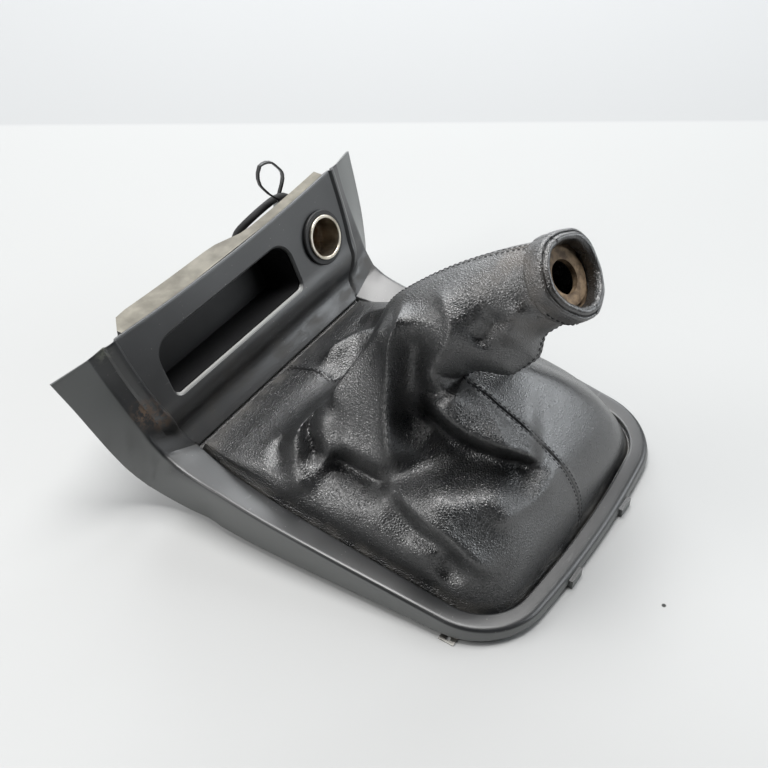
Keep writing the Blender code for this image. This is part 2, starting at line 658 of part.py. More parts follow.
def finish_surround(made):
    """Cuts, bosses, hooks and tabs of the moulding."""
    for k, (x, v) in enumerate(bin_screw_places()):
        place = PANEL_PLACE @ Matrix.Translation((x, v, 0.0))
        boss = turned(f"bin_boss_{k}", ((0.0, -SHELL_WALL / 2), (BOSS_RADIUS, -SHELL_WALL / 2),
                                        (BOSS_RADIUS, PLATE_BACK + FIT), (0.0, PLATE_BACK + FIT)),
                      SATIN_PLASTIC, place, 16, cutter=True)
        combine(made, boss, "UNION")
    for k, place in enumerate(frame_screw_places()):
        boss = turned(f"frame_boss_{k}", ((0.0, FRAME_BOSS_TOP), (BOSS_RADIUS, FRAME_BOSS_TOP),
                                          (BOSS_RADIUS, FRAME_TOP + FIT), (0.0, FRAME_TOP + FIT)),
                      SATIN_PLASTIC, place, 16, cutter=True)
        combine(made, boss, "UNION")
    for side, word in ((-1, "left"), (1, "right")):
        near = side * (REAR_TAB_X - TAB_WIDTH / 2)
        far = side * (REAR_TAB_X + TAB_WIDTH / 2)
        low_x, high_x = min(near, far), max(near, far)
        tab = block(f"rear_tab_{word}", (low_x, REAR_REACH, -LIFT),
                    (high_x, REAR_REACH + TAB_THICK, SKIRT_REAR_TOP), SATIN_PLASTIC, cutter=True)
        combine(made, tab, "UNION")
        hook = block(f"frame_hook_{word}", (low_x + FIT, REAR_REACH + TAB_THICK / 2, FRAME_HOOK_LOW),
                     (high_x - FIT, OPENING_REAR_Y - FRAME_IN, FRAME_HOOK_LOW + HOOK_THICK),
                     SATIN_PLASTIC, cutter=True)
        combine(made, hook, "UNION")
        inner_x = side * (SIDE_TAB_X - TAB_THICK)
        outer_x = side * SIDE_TAB_X
        side_tab = block(f"side_tab_{word}",
                         (min(inner_x, outer_x), SIDE_TAB_Y - TAB_WIDTH / 2, -LIFT),
                         (max(inner_x, outer_x), SIDE_TAB_Y + TAB_WIDTH / 2, SIDE_TAB_TOP),
                         SATIN_PLASTIC, cutter=True)
        combine(made, side_tab, "UNION")
        post_in = side * (CLIP_POST_X - CLIP_POST_THICK / 2)
        post_out = side * (CLIP_POST_X + CLIP_POST_THICK / 2)
        post = block(f"clip_post_{word}",
                     (min(post_in, post_out), CLIP_Y - CLIP_LENGTH / 2, CLIP_THICK + FIT - LIFT),
                     (max(post_in, post_out), CLIP_Y + CLIP_LENGTH / 2, CLIP_POST_TOP),
                     SATIN_PLASTIC, cutter=True)
        combine(made, post, "UNION")
    cubby = prism("cubby_cut", rounded_box(*CUBBY_OUTLINE, CUBBY_BOTTOM_RADIUS, CUBBY_TOP_RADIUS),
                  -CUBBY_DEPTH, CUBBY_DEPTH, BLACK_PLASTIC, PANEL_PLACE, cutter=True)
    combine(made, cubby)
    hole = turned("socket_hole", ((0.0, BARREL_LENGTH), (SLEEVE_RADIUS + FIT, BARREL_LENGTH),
                                  (SLEEVE_RADIUS + FIT, -BARREL_LENGTH), (0.0, -BARREL_LENGTH)),
                  BLACK_PLASTIC, SOCKET_PLACE, 32, cutter=True)
    combine(made, hole)
    for k, (x, v) in enumerate(bin_screw_places()):
        place = PANEL_PLACE @ Matrix.Translation((x, v, 0.0))
        pilot = turned(f"bin_pilot_{k}", ((0.0, -SHELL_WALL / 2), (PILOT_RADIUS, -SHELL_WALL / 2),
                                          (PILOT_RADIUS, -CUBBY_DEPTH), (0.0, -CUBBY_DEPTH)),
                       BLACK_PLASTIC, place, 12, cutter=True)
        combine(made, pilot)
    for k, place in enumerate(frame_screw_places()):
        pilot = turned(f"frame_pilot_{k}", ((0.0, -SHELL_WALL / 2), (PILOT_RADIUS, -SHELL_WALL / 2),
                                            (PILOT_RADIUS, -CUBBY_DEPTH), (0.0, -CUBBY_DEPTH)),
                       BLACK_PLASTIC, place, 12, cutter=True)
        combine(made, pilot)
    even_triangles(made)


def shelf_section(x):
    """Section (y, z) of the shelf behind the panel's top edge, with its web down to the plate."""
    half_width = PANEL_TOP_HALF_WIDTH
    sag = PANEL_TOP_SAG * (1 - (x / half_width) ** 2)
    top_y = PANEL_TOP_Y - sag * math.tan(PANEL_LEAN)
    top_z = PANEL_TOP_Z - sag
    down = Vector((-math.sin(PANEL_LEAN), -math.cos(PANEL_LEAN)))
    back = Vector((math.cos(PANEL_LEAN), -math.sin(PANEL_LEAN)))
    ease = 1 / (1 + math.exp((x - SHELF_STEP_X) / SHELF_STEP_EASE))
    reach = SHELF_NARROW + (SHELF_WIDE - SHELF_NARROW) * ease
    corner = min((x - SHELF_LEFT) / SHELF_WIDE, 1.0)
    reach *= math.sqrt(max(1 - (1 - corner) ** 2, SHELF_LEAST_REACH))
    start = Vector((top_y, top_z)) + down * SHELF_THICK / 2
    front = start + back * (FIT / 2 - PANEL_BACK)
    rim = front + Vector((reach, 0.0))
    return [
        front + down * 4 * SHELF_THICK, front, rim, rim + Vector((0.0, -SHELF_LIP)),
        rim + Vector((-SHELF_THICK, -SHELF_LIP)), rim + Vector((-SHELF_THICK, -SHELF_THICK)),
        front + back * BIN_WALL + down * SHELF_THICK,
        front + back * BIN_WALL + down * 4 * SHELF_THICK,
    ]


def make_carrier():
    """Cubby bin with its plate behind the panel and the shelf along the top edge."""
    low, high = -PLATE_BOTTOM_DOWN, -PLATE_TOP_DOWN
    outline = rounded_box(-PLATE_HALF_WIDTH, PLATE_HALF_WIDTH, low, high, BOSS_RADIUS, BOSS_RADIUS)
    made = prism("cubby_bin", outline, PLATE_BACK, PANEL_BACK, BLACK_PLASTIC, PANEL_PLACE)
    left, right, bottom, top = CUBBY_OUTLINE
    outer = rounded_box(left - BIN_WALL, right + BIN_WALL, bottom - BIN_WALL, top + BIN_WALL,
                        CUBBY_BOTTOM_RADIUS + BIN_WALL, CUBBY_TOP_RADIUS + BIN_WALL)
    box = prism("bin_outer", outer, PANEL_BACK - CUBBY_DEPTH - BIN_WALL, PLATE_BACK + BIN_WALL / 2,
                BLACK_PLASTIC, PANEL_PLACE, cutter=True)
    combine(made, box, "UNION")
    stations = SHELF_STATIONS
    points = []
    for n in range(stations + 1):
        x = SHELF_LEFT + (SHELF_RIGHT - SHELF_LEFT) * (n / stations)
        points += [(x, p.x, p.y) for p in shelf_section(x)]
    count = len(shelf_section(0.0))
    faces = tube_faces(stations + 1, count)
    faces.append(tuple(reversed(range(count))))
    faces.append(tuple(range(stations * count, (stations + 1) * count)))
    shelf = add_mesh("bin_shelf", points, faces, BLACK_PLASTIC, cutter=True)
    combine(made, shelf, "UNION")
    inside = prism("bin_inside", rounded_box(*CUBBY_OUTLINE, CUBBY_BOTTOM_RADIUS, CUBBY_TOP_RADIUS),
                   PANEL_BACK - CUBBY_DEPTH, CUBBY_DEPTH, BLACK_PLASTIC, PANEL_PLACE, cutter=True)
    combine(made, inside)
    hole = turned("retainer_hole", ((0.0, CUBBY_DEPTH), (RETAINER_RADIUS + 2 * FIT, CUBBY_DEPTH),
                                    (RETAINER_RADIUS + 2 * FIT, -CUBBY_DEPTH), (0.0, -CUBBY_DEPTH)),
                  BLACK_PLASTIC, SOCKET_PLACE, 32, cutter=True)
    combine(made, hole)
    for k, (x, v) in enumerate(bin_screw_places()):
        place = PANEL_PLACE @ Matrix.Translation((x, v, 0.0))
        cut = turned(f"boss_hole_{k}", ((0.0, SHELL_WALL), (BOSS_RADIUS + FIT, SHELL_WALL),
                                        (BOSS_RADIUS + FIT, -CUBBY_DEPTH), (0.0, -CUBBY_DEPTH)),
                     BLACK_PLASTIC, place, 16, cutter=True)
        combine(made, cut)
    even_triangles(made)


def make_screws():
    """Washer-head screws, points into the bosses."""
    for k, (x, v) in enumerate(bin_screw_places()):
        place = PANEL_PLACE @ Matrix.Translation((x, v, 0.0))
        head = PLATE_BACK - FIT
        washer_screw(f"bin_screw_{k + 1}", head, SCREW_HEAD_RADIUS, -SHELL_WALL / 2 - FIT, place)
    for k, place in enumerate(frame_screw_places()):
        washer_screw(f"frame_screw_{k + 1}", FRAME_BOTTOM - FIT, SCREW_HEAD_RADIUS,
                     -SHELL_WALL / 2 - FIT, place)


def washer_screw(name, seat, head_radius, tip, place):
    shank = PILOT_RADIUS - FIT / 2
    drive = shank * 0.8
    profile = (
        (0.0, tip), (shank / 2, tip), (shank, tip - shank), (shank, seat), (head_radius, seat),
        (head_radius, seat - WASHER_THICK), (2 * shank, seat - WASHER_THICK),
        (2 * shank, seat - SCREW_HEAD), (drive, seat - SCREW_HEAD), (drive, seat - WASHER_THICK),
        (0.0, seat - WASHER_THICK),
    )
    return turned(name, profile, SPRING_STEEL, place, 12)


def make_socket():
    """12 V socket along its axis: sleeve with bezel, barrel, insulator, contacts and retainer."""
    top = BEZEL_SEAT + BEZEL_THICK
    edge = BEZEL_THICK / 3
    turned("socket_sleeve", (
        (SLEEVE_BORE, SLEEVE_END), (SLEEVE_RADIUS, SLEEVE_END), (SLEEVE_RADIUS, BEZEL_SEAT),
        (BEZEL_RADIUS, BEZEL_SEAT), (BEZEL_RADIUS, top - edge), (BEZEL_RADIUS - edge, top),
        (SLEEVE_BORE, top),
    ), BLACK_PLASTIC, SOCKET_PLACE, 40)
    seat = top + FIT
    rim = seat + BARREL_WALL * 1.5
    bottom = seat - BARREL_LENGTH
    turned("socket_barrel", (
        (CONTACT_SHANK + 2 * FIT, bottom), (BARREL_RADIUS, bottom), (BARREL_RADIUS, seat),
        (BARREL_RIM_RADIUS, seat), (BARREL_RIM_RADIUS, rim - FIT), (BARREL_RIM_RADIUS - FIT, rim),
        (SOCKET_BORE_RADIUS + FIT, rim), (SOCKET_BORE_RADIUS, rim - FIT),
        (SOCKET_BORE_RADIUS, bottom + BARREL_WALL), (CONTACT_SHANK + 2 * FIT, bottom + BARREL_WALL),
    ), NICKEL, SOCKET_PLACE, 40)
    floor = bottom + BARREL_WALL + FIT
    turned("socket_insulator", (
        (CONTACT_SHANK + FIT, floor), (SOCKET_BORE_RADIUS - FIT, floor),
        (SOCKET_BORE_RADIUS - FIT, floor + INSULATOR_THICK),
        (CONTACT_SHANK + FIT, floor + INSULATOR_THICK),
    ), BROWN_BOARD, SOCKET_PLACE, 32)
    head = floor + INSULATOR_THICK + FIT
    turned("socket_centre_contact", (
        (0.0, bottom - FIT), (CONTACT_SHANK, bottom - FIT), (CONTACT_SHANK, head),
        (CONTACT_RADIUS, head), (CONTACT_RADIUS, head + BARREL_WALL),
        (CONTACT_RADIUS / 2, head + CONTACT_SHANK / 2),
        (0.0, head + CONTACT_SHANK / 2),
    ), NICKEL, SOCKET_PLACE, 24)
    tab_out = -(SOCKET_BORE_RADIUS - FIT)
    block("socket_side_contact", (tab_out, -SIDE_CONTACT_WIDTH / 2, seat - SIDE_CONTACT_REACH),
          (tab_out + BARREL_WALL, SIDE_CONTACT_WIDTH / 2, seat - BEZEL_THICK), NICKEL, SOCKET_PLACE)
    turned("socket_retainer", (
        (SLEEVE_RADIUS + FIT, PANEL_BACK - RETAINER_LENGTH),
        (RETAINER_RADIUS, PANEL_BACK - RETAINER_LENGTH),
        (RETAINER_RADIUS, PANEL_BACK), (SLEEVE_RADIUS + FIT, PANEL_BACK),
    ), BLACK_PLASTIC, SOCKET_PLACE, 24)
    for name, x, start in (
        ("socket_live_terminal", 0.0, bottom - 2 * FIT),
        ("socket_earth_terminal", TERMINAL_PITCH, bottom - FIT),
    ):
        block(name, (x - TERMINAL_THICK / 2, -TERMINAL_WIDTH / 2, bottom - TERMINAL_LENGTH),
              (x + TERMINAL_THICK / 2, TERMINAL_WIDTH / 2, start), NICKEL, SOCKET_PLACE)
    make_plug(bottom)


def make_plug(bottom):
    """Plug on the socket's two terminals, its lead leaving to the left."""
    front = bottom - PLUG_STANDOFF
    plug = block("socket_plug", (-PLUG_SIDE, -PLUG_HALF_HEIGHT, front - PLUG_LENGTH),
                 (TERMINAL_PITCH + PLUG_SIDE, PLUG_HALF_HEIGHT, front), BLACK_PLASTIC, SOCKET_PLACE)
    for name, x in (("live", 0.0), ("earth", TERMINAL_PITCH)):
        slot = block(f"{name}_slot", (x - TERMINAL_THICK / 2 - FIT, -TERMINAL_WIDTH / 2 - FIT,
                                      bottom - TERMINAL_LENGTH - FIT),
                     (x + TERMINAL_THICK / 2 + FIT, TERMINAL_WIDTH / 2 + FIT, bottom),
                     BLACK_PLASTIC, SOCKET_PLACE, cutter=True)
        combine(plug, slot)


def make_lead():
    """Taped lead from the plug, over the top behind the shelf and down to its connector."""
    lead = bpy.data.curves.new("socket_lead", "CURVE")
    lead.dimensions = "3D"
    route = smooth_curve([tuple(MM * c for c in p) for p in LEAD_ROUTE], LEAD_POINTS)
    spline = lead.splines.new("POLY")
    spline.points.add(len(route) - 1)
    for point, where in zip(spline.points, route):
        point.co = (*where, 1.0)
    lead.bevel_depth = LEAD_RADIUS
    lead.bevel_resolution = 2
    lead.use_fill_caps = True
    lead.materials.append(CABLE_BLACK)
    made = bpy.data.objects.new("socket_lead", lead)
    bpy.context.scene.collection.objects.link(made)
    made.parent = STANCE
    end = route[-1]
    along = Vector(route[-1]) - Vector(route[-2])
    place = Matrix.Translation(end) @ along.to_track_quat("Z", "X").to_matrix().to_4x4()
    width, depth = CONNECTOR_SIZE[0] / 2, CONNECTOR_SIZE[1] / 2
    connector = block("lead_connector", (-width, -depth, FIT), (width, depth, CONNECTOR_SIZE[2]),
                      BLACK_PLASTIC, place)
    pocket = block("connector_pocket",
                   (-width + CONNECTOR_WALL, -depth + CONNECTOR_WALL, CONNECTOR_SIZE[2] / 2),
                   (width - CONNECTOR_WALL, depth - CONNECTOR_WALL, 2 * CONNECTOR_SIZE[2]),
                   BLACK_PLASTIC, place, cutter=True)
    combine(connector, pocket)


def make_tie():
    """Plastic tie looped round the lead."""
    route = [tuple(MM * c for c in p) for p in TIE_ROUTE]
    closed = smooth_curve(route[-2:] + route + route[:3], 6 * (len(route) + 4))
    keep = closed[np.argmin(np.linalg.norm(closed[:12] - route[0], axis=1)):]
    ring = []
    for point in keep:
        if ring and np.linalg.norm(point - keep[0]) < TIE_STEP and len(ring) > 12:
            break
        if not ring or np.linalg.norm(point - ring[-1]) >= TIE_STEP:
            ring.append(point)
    points = []
    for k, point in enumerate(ring):
        along = Vector(ring[(k + 1) % len(ring)]) - Vector(ring[k - 1])
        across = along.cross(Vector(TIE_FACING)).normalized()
        wide = across.cross(along).normalized()
        for u, v in ((-1, -1), (1, -1), (1, 1), (-1, 1)):
            points.append(Vector(point) + across * u * TIE_THICK / 2 + wide * v * TIE_WIDTH / 2)
    add_mesh("cable_tie", points, tube_faces(len(ring), 4, closed_rows=True), BLACK_PLASTIC)


def make_clips():
    """Spring clips under the skirt: a strip bent round a post, with a tongue that shows outside."""
    for side, word in ((-1, "left"), (1, "right")):
        inner = CLIP_POST_X - CLIP_POST_THICK / 2 - FIT
        outer = CLIP_POST_X + CLIP_POST_THICK / 2 + FIT
        low = -LIFT
        outline = [
            (inner - CLIP_THICK, low), (CLIP_TONGUE_X, low), (CLIP_TONGUE_X, low + CLIP_THICK),
            (outer + CLIP_THICK, low + CLIP_THICK), (outer + CLIP_THICK, CLIP_LEG_TOP),
            (outer, CLIP_LEG_TOP), (outer, low + CLIP_THICK), (inner, low + CLIP_THICK),
            (inner, CLIP_LEG_TOP), (inner - CLIP_THICK, CLIP_LEG_TOP),
        ]
        place = Matrix.Translation((0.0, CLIP_Y, 0.0)) @ Matrix.Rotation(math.pi / 2, 4, "X")
        flat = [(side * x, z) for x, z in outline]
        clip = prism(f"spring_clip_{word}", flat, -CLIP_LENGTH / 2, CLIP_LENGTH / 2, SPRING_STEEL, place)
        hole = turned(f"clip_hole_{word}", ((0.0, LIFT), (CLIP_HOLE_RADIUS, LIFT),
                                            (CLIP_HOLE_RADIUS, -2 * LIFT), (0.0, -2 * LIFT)),
                      SPRING_STEEL, Matrix.Translation((side * CLIP_HOLE_X, CLIP_Y, 0.0)), 12, cutter=True)
        combine(clip, hole)


def opening_loop():
    """The whole opening, counterclockwise from its rear middle: points and outward directions."""
    half = opening_half()
    corner_x, corner_y = half[-1][:2]
    diagonal = math.sqrt(0.5)
    half[-1] = (corner_x, corner_y, diagonal, diagonal)
    right = [(x, y, nx, ny) for x, y, nx, ny in half]
    sill = []
    for k in range(1, SILL_STEPS):
        sill.append((OPENING_FRONT_HALF_WIDTH * (1 - 2 * k / SILL_STEPS), OPENING_FRONT_Y, 0.0, 1.0))
    left = [(-x, y, -nx, ny) for x, y, nx, ny in reversed(half[1:])]
    return right + sill + left


def make_gaiter_frame():
    """Flat frame under the rim that clamps the leather's hem, with an ear at each screw."""
    sections = []
    for x, y, out_x, out_y in opening_loop():
        ear = 0.0
        if out_x != 0.0 and out_y == 0.0:
            ear = sum(math.exp(-(((y - at) / FRAME_EAR_LENGTH) ** 2)) for at in FRAME_SCREW_YS)
        out = FRAME_OUT + (FRAME_EAR - FRAME_OUT) * min(ear, 1.0)
        ring = []
        section = (
            (-FRAME_IN, FRAME_TOP), (out, FRAME_TOP), (out, FRAME_BOTTOM), (-FRAME_IN, FRAME_BOTTOM),
        )
        for reach, level in section:
            px, py = x + out_x * reach, y + out_y * reach
            ring.append((px, py, opening_z(py) + level))
        sections.append(ring)
    points = [p for ring in sections for p in ring]
    faces = tube_faces(len(sections), 4, closed_rows=True)
    made = add_mesh("gaiter_frame", points, faces, BLACK_PLASTIC)
    for k, place in enumerate(frame_screw_places()):
        hole = turned(f"frame_hole_{k}", ((0.0, SHELL_WALL), (PILOT_RADIUS + FIT, SHELL_WALL),
                                          (PILOT_RADIUS + FIT, -CUBBY_DEPTH), (0.0, -CUBBY_DEPTH)),
                      BLACK_PLASTIC, place, 12, cutter=True)
        combine(made, hole)


def periodic_curve(knots, values, queries):
    """Smooth closed curve through values at knots in degrees, read at the queries."""
    knots = np.concatenate([[knots[-1] - 360.0], knots, [knots[0] + 360.0, knots[1] + 360.0]])
    values = np.concatenate([values[-1:], values, values[:2]])
    slopes = np.zeros_like(values)
    for k in range(1, len(knots) - 1):
        before = knots[k] - knots[k - 1]
        after = knots[k + 1] - knots[k]
        rise_before = (values[k] - values[k - 1]) / before
        rise_after = (values[k + 1] - values[k]) / after
        slopes[k] = (rise_before * after + rise_after * before) / (before + after)
    made = []
    for query in queries:
        k = int(np.clip(np.searchsorted(knots, query, side="right") - 1, 1, len(knots) - 3))
        span = knots[k + 1] - knots[k]
        f = (query - knots[k]) / span
        made.append(
            (2 * f**3 - 3 * f**2 + 1) * values[k] + (f**3 - 2 * f**2 + f) * span * slopes[k]
            + (3 * f**2 - 2 * f**3) * values[k + 1] + (f**3 - f**2) * span * slopes[k + 1]
        )
    return np.array(made)


def neck_ring(centre, axis, radius, turns):
    """Circle round the lever, its zero turned to the rear seam."""
    axis = np.asarray(axis) / np.linalg.norm(axis)
    rear = np.array([0.0, -1.0, 0.0]) + axis[1] * axis
    rear /= np.linalg.norm(rear)
    right = np.cross(axis, rear)
    return np.asarray(centre) + radius * (np.outer(np.cos(turns), rear) + np.outer(np.sin(turns), right))


def hem_loop(around):
    """Opening's outline resampled closer at the left, with outward directions and turns."""
    loop = np.array(opening_loop() + opening_loop()[:1])
    lengths = np.concatenate([[0.0], np.cumsum(np.linalg.norm(np.diff(loop[:, :2], axis=0), axis=1))])
    even = np.arange(around) / around
    crowded = np.sin(2 * math.pi * (even - GAITER_CROWD_SHARE)) + math.sin(2 * math.pi * GAITER_CROWD_SHARE)
    shares = even - GAITER_CROWD * crowded / (2 * math.pi)
    places = np.stack([np.interp(shares * lengths[-1], lengths, loop[:, k]) for k in range(4)], axis=1)
    places[:, 2:] /= np.linalg.norm(places[:, 2:], axis=1)[:, None]
    return places, shares * 2 * math.pi


def push_fold(flat, path, push, side, wide, narrow, power, fade):
    """How far one fold moves each point: its full push on the line, none a few widths away."""
    axes = np.array((FOLD_OUT, FOLD_REARWARD, FOLD_UP))
    line = smooth_curve(MM * np.array(path, float), FOLD_STEPS)
    nearest = np.full(len(flat), 1.0)
    offsets = np.zeros_like(flat)
    along = np.zeros(len(flat))
    for k in range(len(line) - 1):
        step = line[k + 1] - line[k]
        where = np.clip((flat - line[k]) @ step / (step @ step), 0.0, 1.0)
        offset = flat - line[k] - where[:, None] * step
        distance = np.linalg.norm(offset, axis=1)
        closer = distance < nearest
        nearest[closer] = distance[closer]
        offsets[closer] = offset[closer]
        along[closer] = (k + where[closer]) / (len(line) - 1)
    share = eased(0.5 + offsets @ (np.array(side, float) @ axes) / np.maximum(nearest, FIT))
    reach = np.maximum(MM * (narrow + (wide - narrow) * share), LEAST_FOLD)
    amount = np.exp(-((nearest / reach) ** power)) * eased(np.minimum(along, 1 - along) / fade)
    return amount[:, None] * (MM * np.array(push, float) @ axes)


def eased(share):
    """From 0 to 1 with no corner at either end."""
    inside = np.clip(share, 0.0, 1.0)
    return inside * inside * (3 - 2 * inside)


def smoothed(grid, times):
    """Each point moved toward its neighbours round and along the leather, its end rows kept."""
    for _ in range(times):
        round_it = (np.roll(grid, 1, axis=1) + np.roll(grid, -1, axis=1)) / 2
        along_it = grid.copy()
        along_it[1:-1] = (grid[:-2] + grid[2:]) / 2
        inner = grid.copy()
        inner[1:-1] = ((grid + round_it + along_it) / 3)[1:-1]
        grid = inner
    return grid


def gaiter_grid(around, body_rows, neck_rows):
    """Outer face of the leather: hem under the rim, body, neck, and the roll over the collar."""
    loop, turns = hem_loop(around)
    degrees = np.degrees(turns)
    rows = []
    for reach, level in HEM_ROWS:
        xy = loop[:, :2] + loop[:, 2:] * reach * MM
        rows.append(np.column_stack([xy, opening_z(xy[:, 1]) + level * MM]))
    angles = sorted(GAITER_LINES)
    control = MM * np.array([GAITER_LINES[angle] for angle in angles], float)
    levels = [rows[-1]]
    levels += [periodic_curve(angles, control[:, k], degrees) for k in range(control.shape[1])]
    levels.append(neck_ring(NECK_ROOT, NECK_ROOT_AXIS, NECK_ROOT_RADIUS, turns))
    neck = []
    root = np.array(NECK_ROOT)
    root_axis = np.array(NECK_ROOT_AXIS) / np.linalg.norm(NECK_ROOT_AXIS)
    top_axis = np.array(COLLAR_AXIS) / np.linalg.norm(COLLAR_AXIS)
    top = np.array(COLLAR) + COLLAR_FOOT * top_axis
    reach = np.linalg.norm(top - root)
    for n in range(1, neck_rows + 1):
        s = n / neck_rows
        centre = (
            (2 * s**3 - 3 * s**2 + 1) * root + (s**3 - 2 * s**2 + s) * reach * root_axis
            + (3 * s**2 - 2 * s**3) * top + (s**3 - s**2) * reach * top_axis
        )
        radius = NECK_ROOT_RADIUS + (COLLAR_RADIUS - NECK_ROOT_RADIUS) * s
        radius += NECK_SLACK * math.sin(math.pi * s)
        neck.append(neck_ring(centre, root_axis * (1 - s) + top_axis * s, radius, turns))
    steps = np.arange(len(levels)) / (len(levels) - 1)
    guides = np.array(levels + [neck[neck_rows // 3]])
    knots = np.append(steps, 1 + steps[1])
    slopes = np.gradient(guides, knots, axis=0)
    for n in range(1, body_rows + 1):
        where = n / body_rows
        k = min(int(where * (len(levels) - 1)), len(levels) - 2)
        span = knots[k + 1] - knots[k]
        f = (where - knots[k]) / span
        rows.append(
            (2 * f**3 - 3 * f**2 + 1) * guides[k] + (f**3 - 2 * f**2 + f) * span * slopes[k]
            + (3 * f**2 - 2 * f**3) * guides[k + 1] + (f**3 - f**2) * span * slopes[k + 1]
        )
    grid = np.array(rows[len(HEM_ROWS):] + neck)
    flat = grid.reshape(-1, 3)
    moves = sum(push_fold(flat, *fold) for fold in GAITER_FOLDS)
    grid = smoothed((flat + moves).reshape(grid.shape), GAITER_SMOOTHING)
    roll = []
    for out, up in COLLAR_ROWS:
        centre = np.array(COLLAR) + top_axis * up * MM
        roll.append(neck_ring(centre, top_axis, out * MM, turns))
    return np.concatenate([np.array(rows[:len(HEM_ROWS)]), grid, np.array(roll)])


def make_gaiter():
    grid = gaiter_grid(GAITER_AROUND, GAITER_BODY_ROWS, GAITER_NECK_ROWS)
    faces = tube_faces(len(grid), GAITER_AROUND)
    made = add_mesh("gaiter", grid.reshape(-1, 3), faces, LEATHER_BLACK, skin=True)
    thickness = made.modifiers.new("leather", "SOLIDIFY")
    thickness.thickness = LEATHER
    thickness.offset = -1.0
    place = Matrix.Translation(COLLAR) @ Vector(COLLAR_AXIS).to_track_quat("Z", "X").to_matrix().to_4x4()
    bore = COLLAR_ROWS[-1][0] * MM - LEATHER
    sleeve = COLLAR_RADIUS - LEATHER - 2 * FIT
    turned("gaiter_ring", (
        (LEVER_HOLE_RADIUS, RING_FACE), (bore, RING_FACE), (bore, RING_FACE - RING_STEP),
        (sleeve, RING_FACE - RING_STEP), (sleeve, -RING_LENGTH), (sleeve - RING_WALL, -RING_LENGTH),
        (sleeve - RING_WALL, RING_FACE - RING_WALL - RING_STEP),
        (LEVER_HOLE_RADIUS, RING_FACE - RING_WALL - RING_STEP),
    ), TAN_PLASTIC, place, 36)


surround = make_surround()
finish_surround(surround)
make_carrier()
make_screws()
make_socket()
make_lead()
make_tie()
make_clips()
make_gaiter_frame()
make_gaiter()
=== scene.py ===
"""Looks of the gear shift surround: moulded plastic, grained leather gaiter, plated socket."""
import math

import bmesh
import bpy
import numpy as np
from mathutils import Matrix, Vector


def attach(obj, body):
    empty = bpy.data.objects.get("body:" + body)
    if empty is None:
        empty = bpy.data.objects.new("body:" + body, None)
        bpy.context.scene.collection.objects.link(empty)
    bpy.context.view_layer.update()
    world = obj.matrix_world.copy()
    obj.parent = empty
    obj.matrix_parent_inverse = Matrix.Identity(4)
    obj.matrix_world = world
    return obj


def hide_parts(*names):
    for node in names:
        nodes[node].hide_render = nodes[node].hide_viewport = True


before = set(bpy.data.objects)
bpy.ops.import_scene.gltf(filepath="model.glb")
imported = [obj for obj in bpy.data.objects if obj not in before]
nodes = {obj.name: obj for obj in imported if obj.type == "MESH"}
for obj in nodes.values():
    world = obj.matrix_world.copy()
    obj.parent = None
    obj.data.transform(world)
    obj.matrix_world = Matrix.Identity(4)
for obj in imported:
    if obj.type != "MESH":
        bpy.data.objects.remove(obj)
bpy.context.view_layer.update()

# The part's own lengths are in millimetres from the middle of the skirt's rear edge
MM = 0.001
STANCE = np.array((0.0, -0.1232, 0.0030))


def placed(points):
    """Millimetres on the part to metres in the scene."""
    return np.asarray(points, float) * MM + STANCE


def put(name, data):
    """A new object, in the scene."""
    made = bpy.data.objects.new(name, data)
    bpy.context.scene.collection.objects.link(made)
    return made


# Camera of the photograph
CAMERA_TURN = math.radians(-56.28)
CAMERA_RISE = math.radians(42.52)
CAMERA_ROLL = math.radians(-0.33)
CAMERA_AWAY = 0.624
CAMERA_AIM = (0.25, 124.9, 40.0)
SENSOR = 36.0
LENS = 57.28


def make_camera():
    back = Vector((
        math.sin(CAMERA_TURN) * math.cos(CAMERA_RISE),
        -math.cos(CAMERA_TURN) * math.cos(CAMERA_RISE),
        math.sin(CAMERA_RISE),
    ))
    level = Vector((math.cos(CAMERA_TURN), math.sin(CAMERA_TURN), 0.0))
    upright = back.cross(level)
    right = level * math.cos(CAMERA_ROLL) + upright * math.sin(CAMERA_ROLL)
    up = upright * math.cos(CAMERA_ROLL) - level * math.sin(CAMERA_ROLL)
    data = bpy.data.cameras.new("photo_camera")
    data.sensor_width = SENSOR
    data.lens = LENS
    data.clip_start = 0.01
    data.clip_end = 50.0
    camera = put("photo_camera", data)
    turn = Matrix((right, up, back)).transposed().to_4x4()
    aim = Vector(placed(CAMERA_AIM))
    camera.matrix_world = Matrix.Translation(aim + back * CAMERA_AWAY) @ turn
    bpy.context.scene.camera = camera


make_camera()


class Value:
    """A socket that varies over a surface; sums of values add their Math nodes."""

    def __init__(self, finish, socket):
        self.finish = finish
        self.socket = socket

    def maths(self, operation, *terms):
        sockets = dict(enumerate(terms))
        return self.finish.add("ShaderNodeMath", {"operation": operation}, sockets)

    def __add__(self, other):
        return self.maths("ADD", self, other)

    def __radd__(self, other):
        return self.maths("ADD", other, self)

    def __sub__(self, other):
        return self.maths("SUBTRACT", self, other)

    def __rsub__(self, other):
        return self.maths("SUBTRACT", other, self)

    def __mul__(self, other):
        return self.maths("MULTIPLY", self, other)

    def __rmul__(self, other):
        return self.maths("MULTIPLY", other, self)

    def __abs__(self):
        return self.maths("ABSOLUTE", self)

    def least(self, other):
        return self.maths("MINIMUM", self, other)

    def most(self, other):
        return self.maths("MAXIMUM", self, other)

    def between(self, low, high):
        """0 at low, 1 at high and eased in between; low may be the larger."""
        return self.finish.add(
            "ShaderNodeMapRange", {"interpolation_type": "SMOOTHSTEP"},
            {"Value": self, "From Min": low, "From Max": high},
        )


SOCKETS = {"specular_ior_level": "Specular IOR Level", "ior": "IOR"}


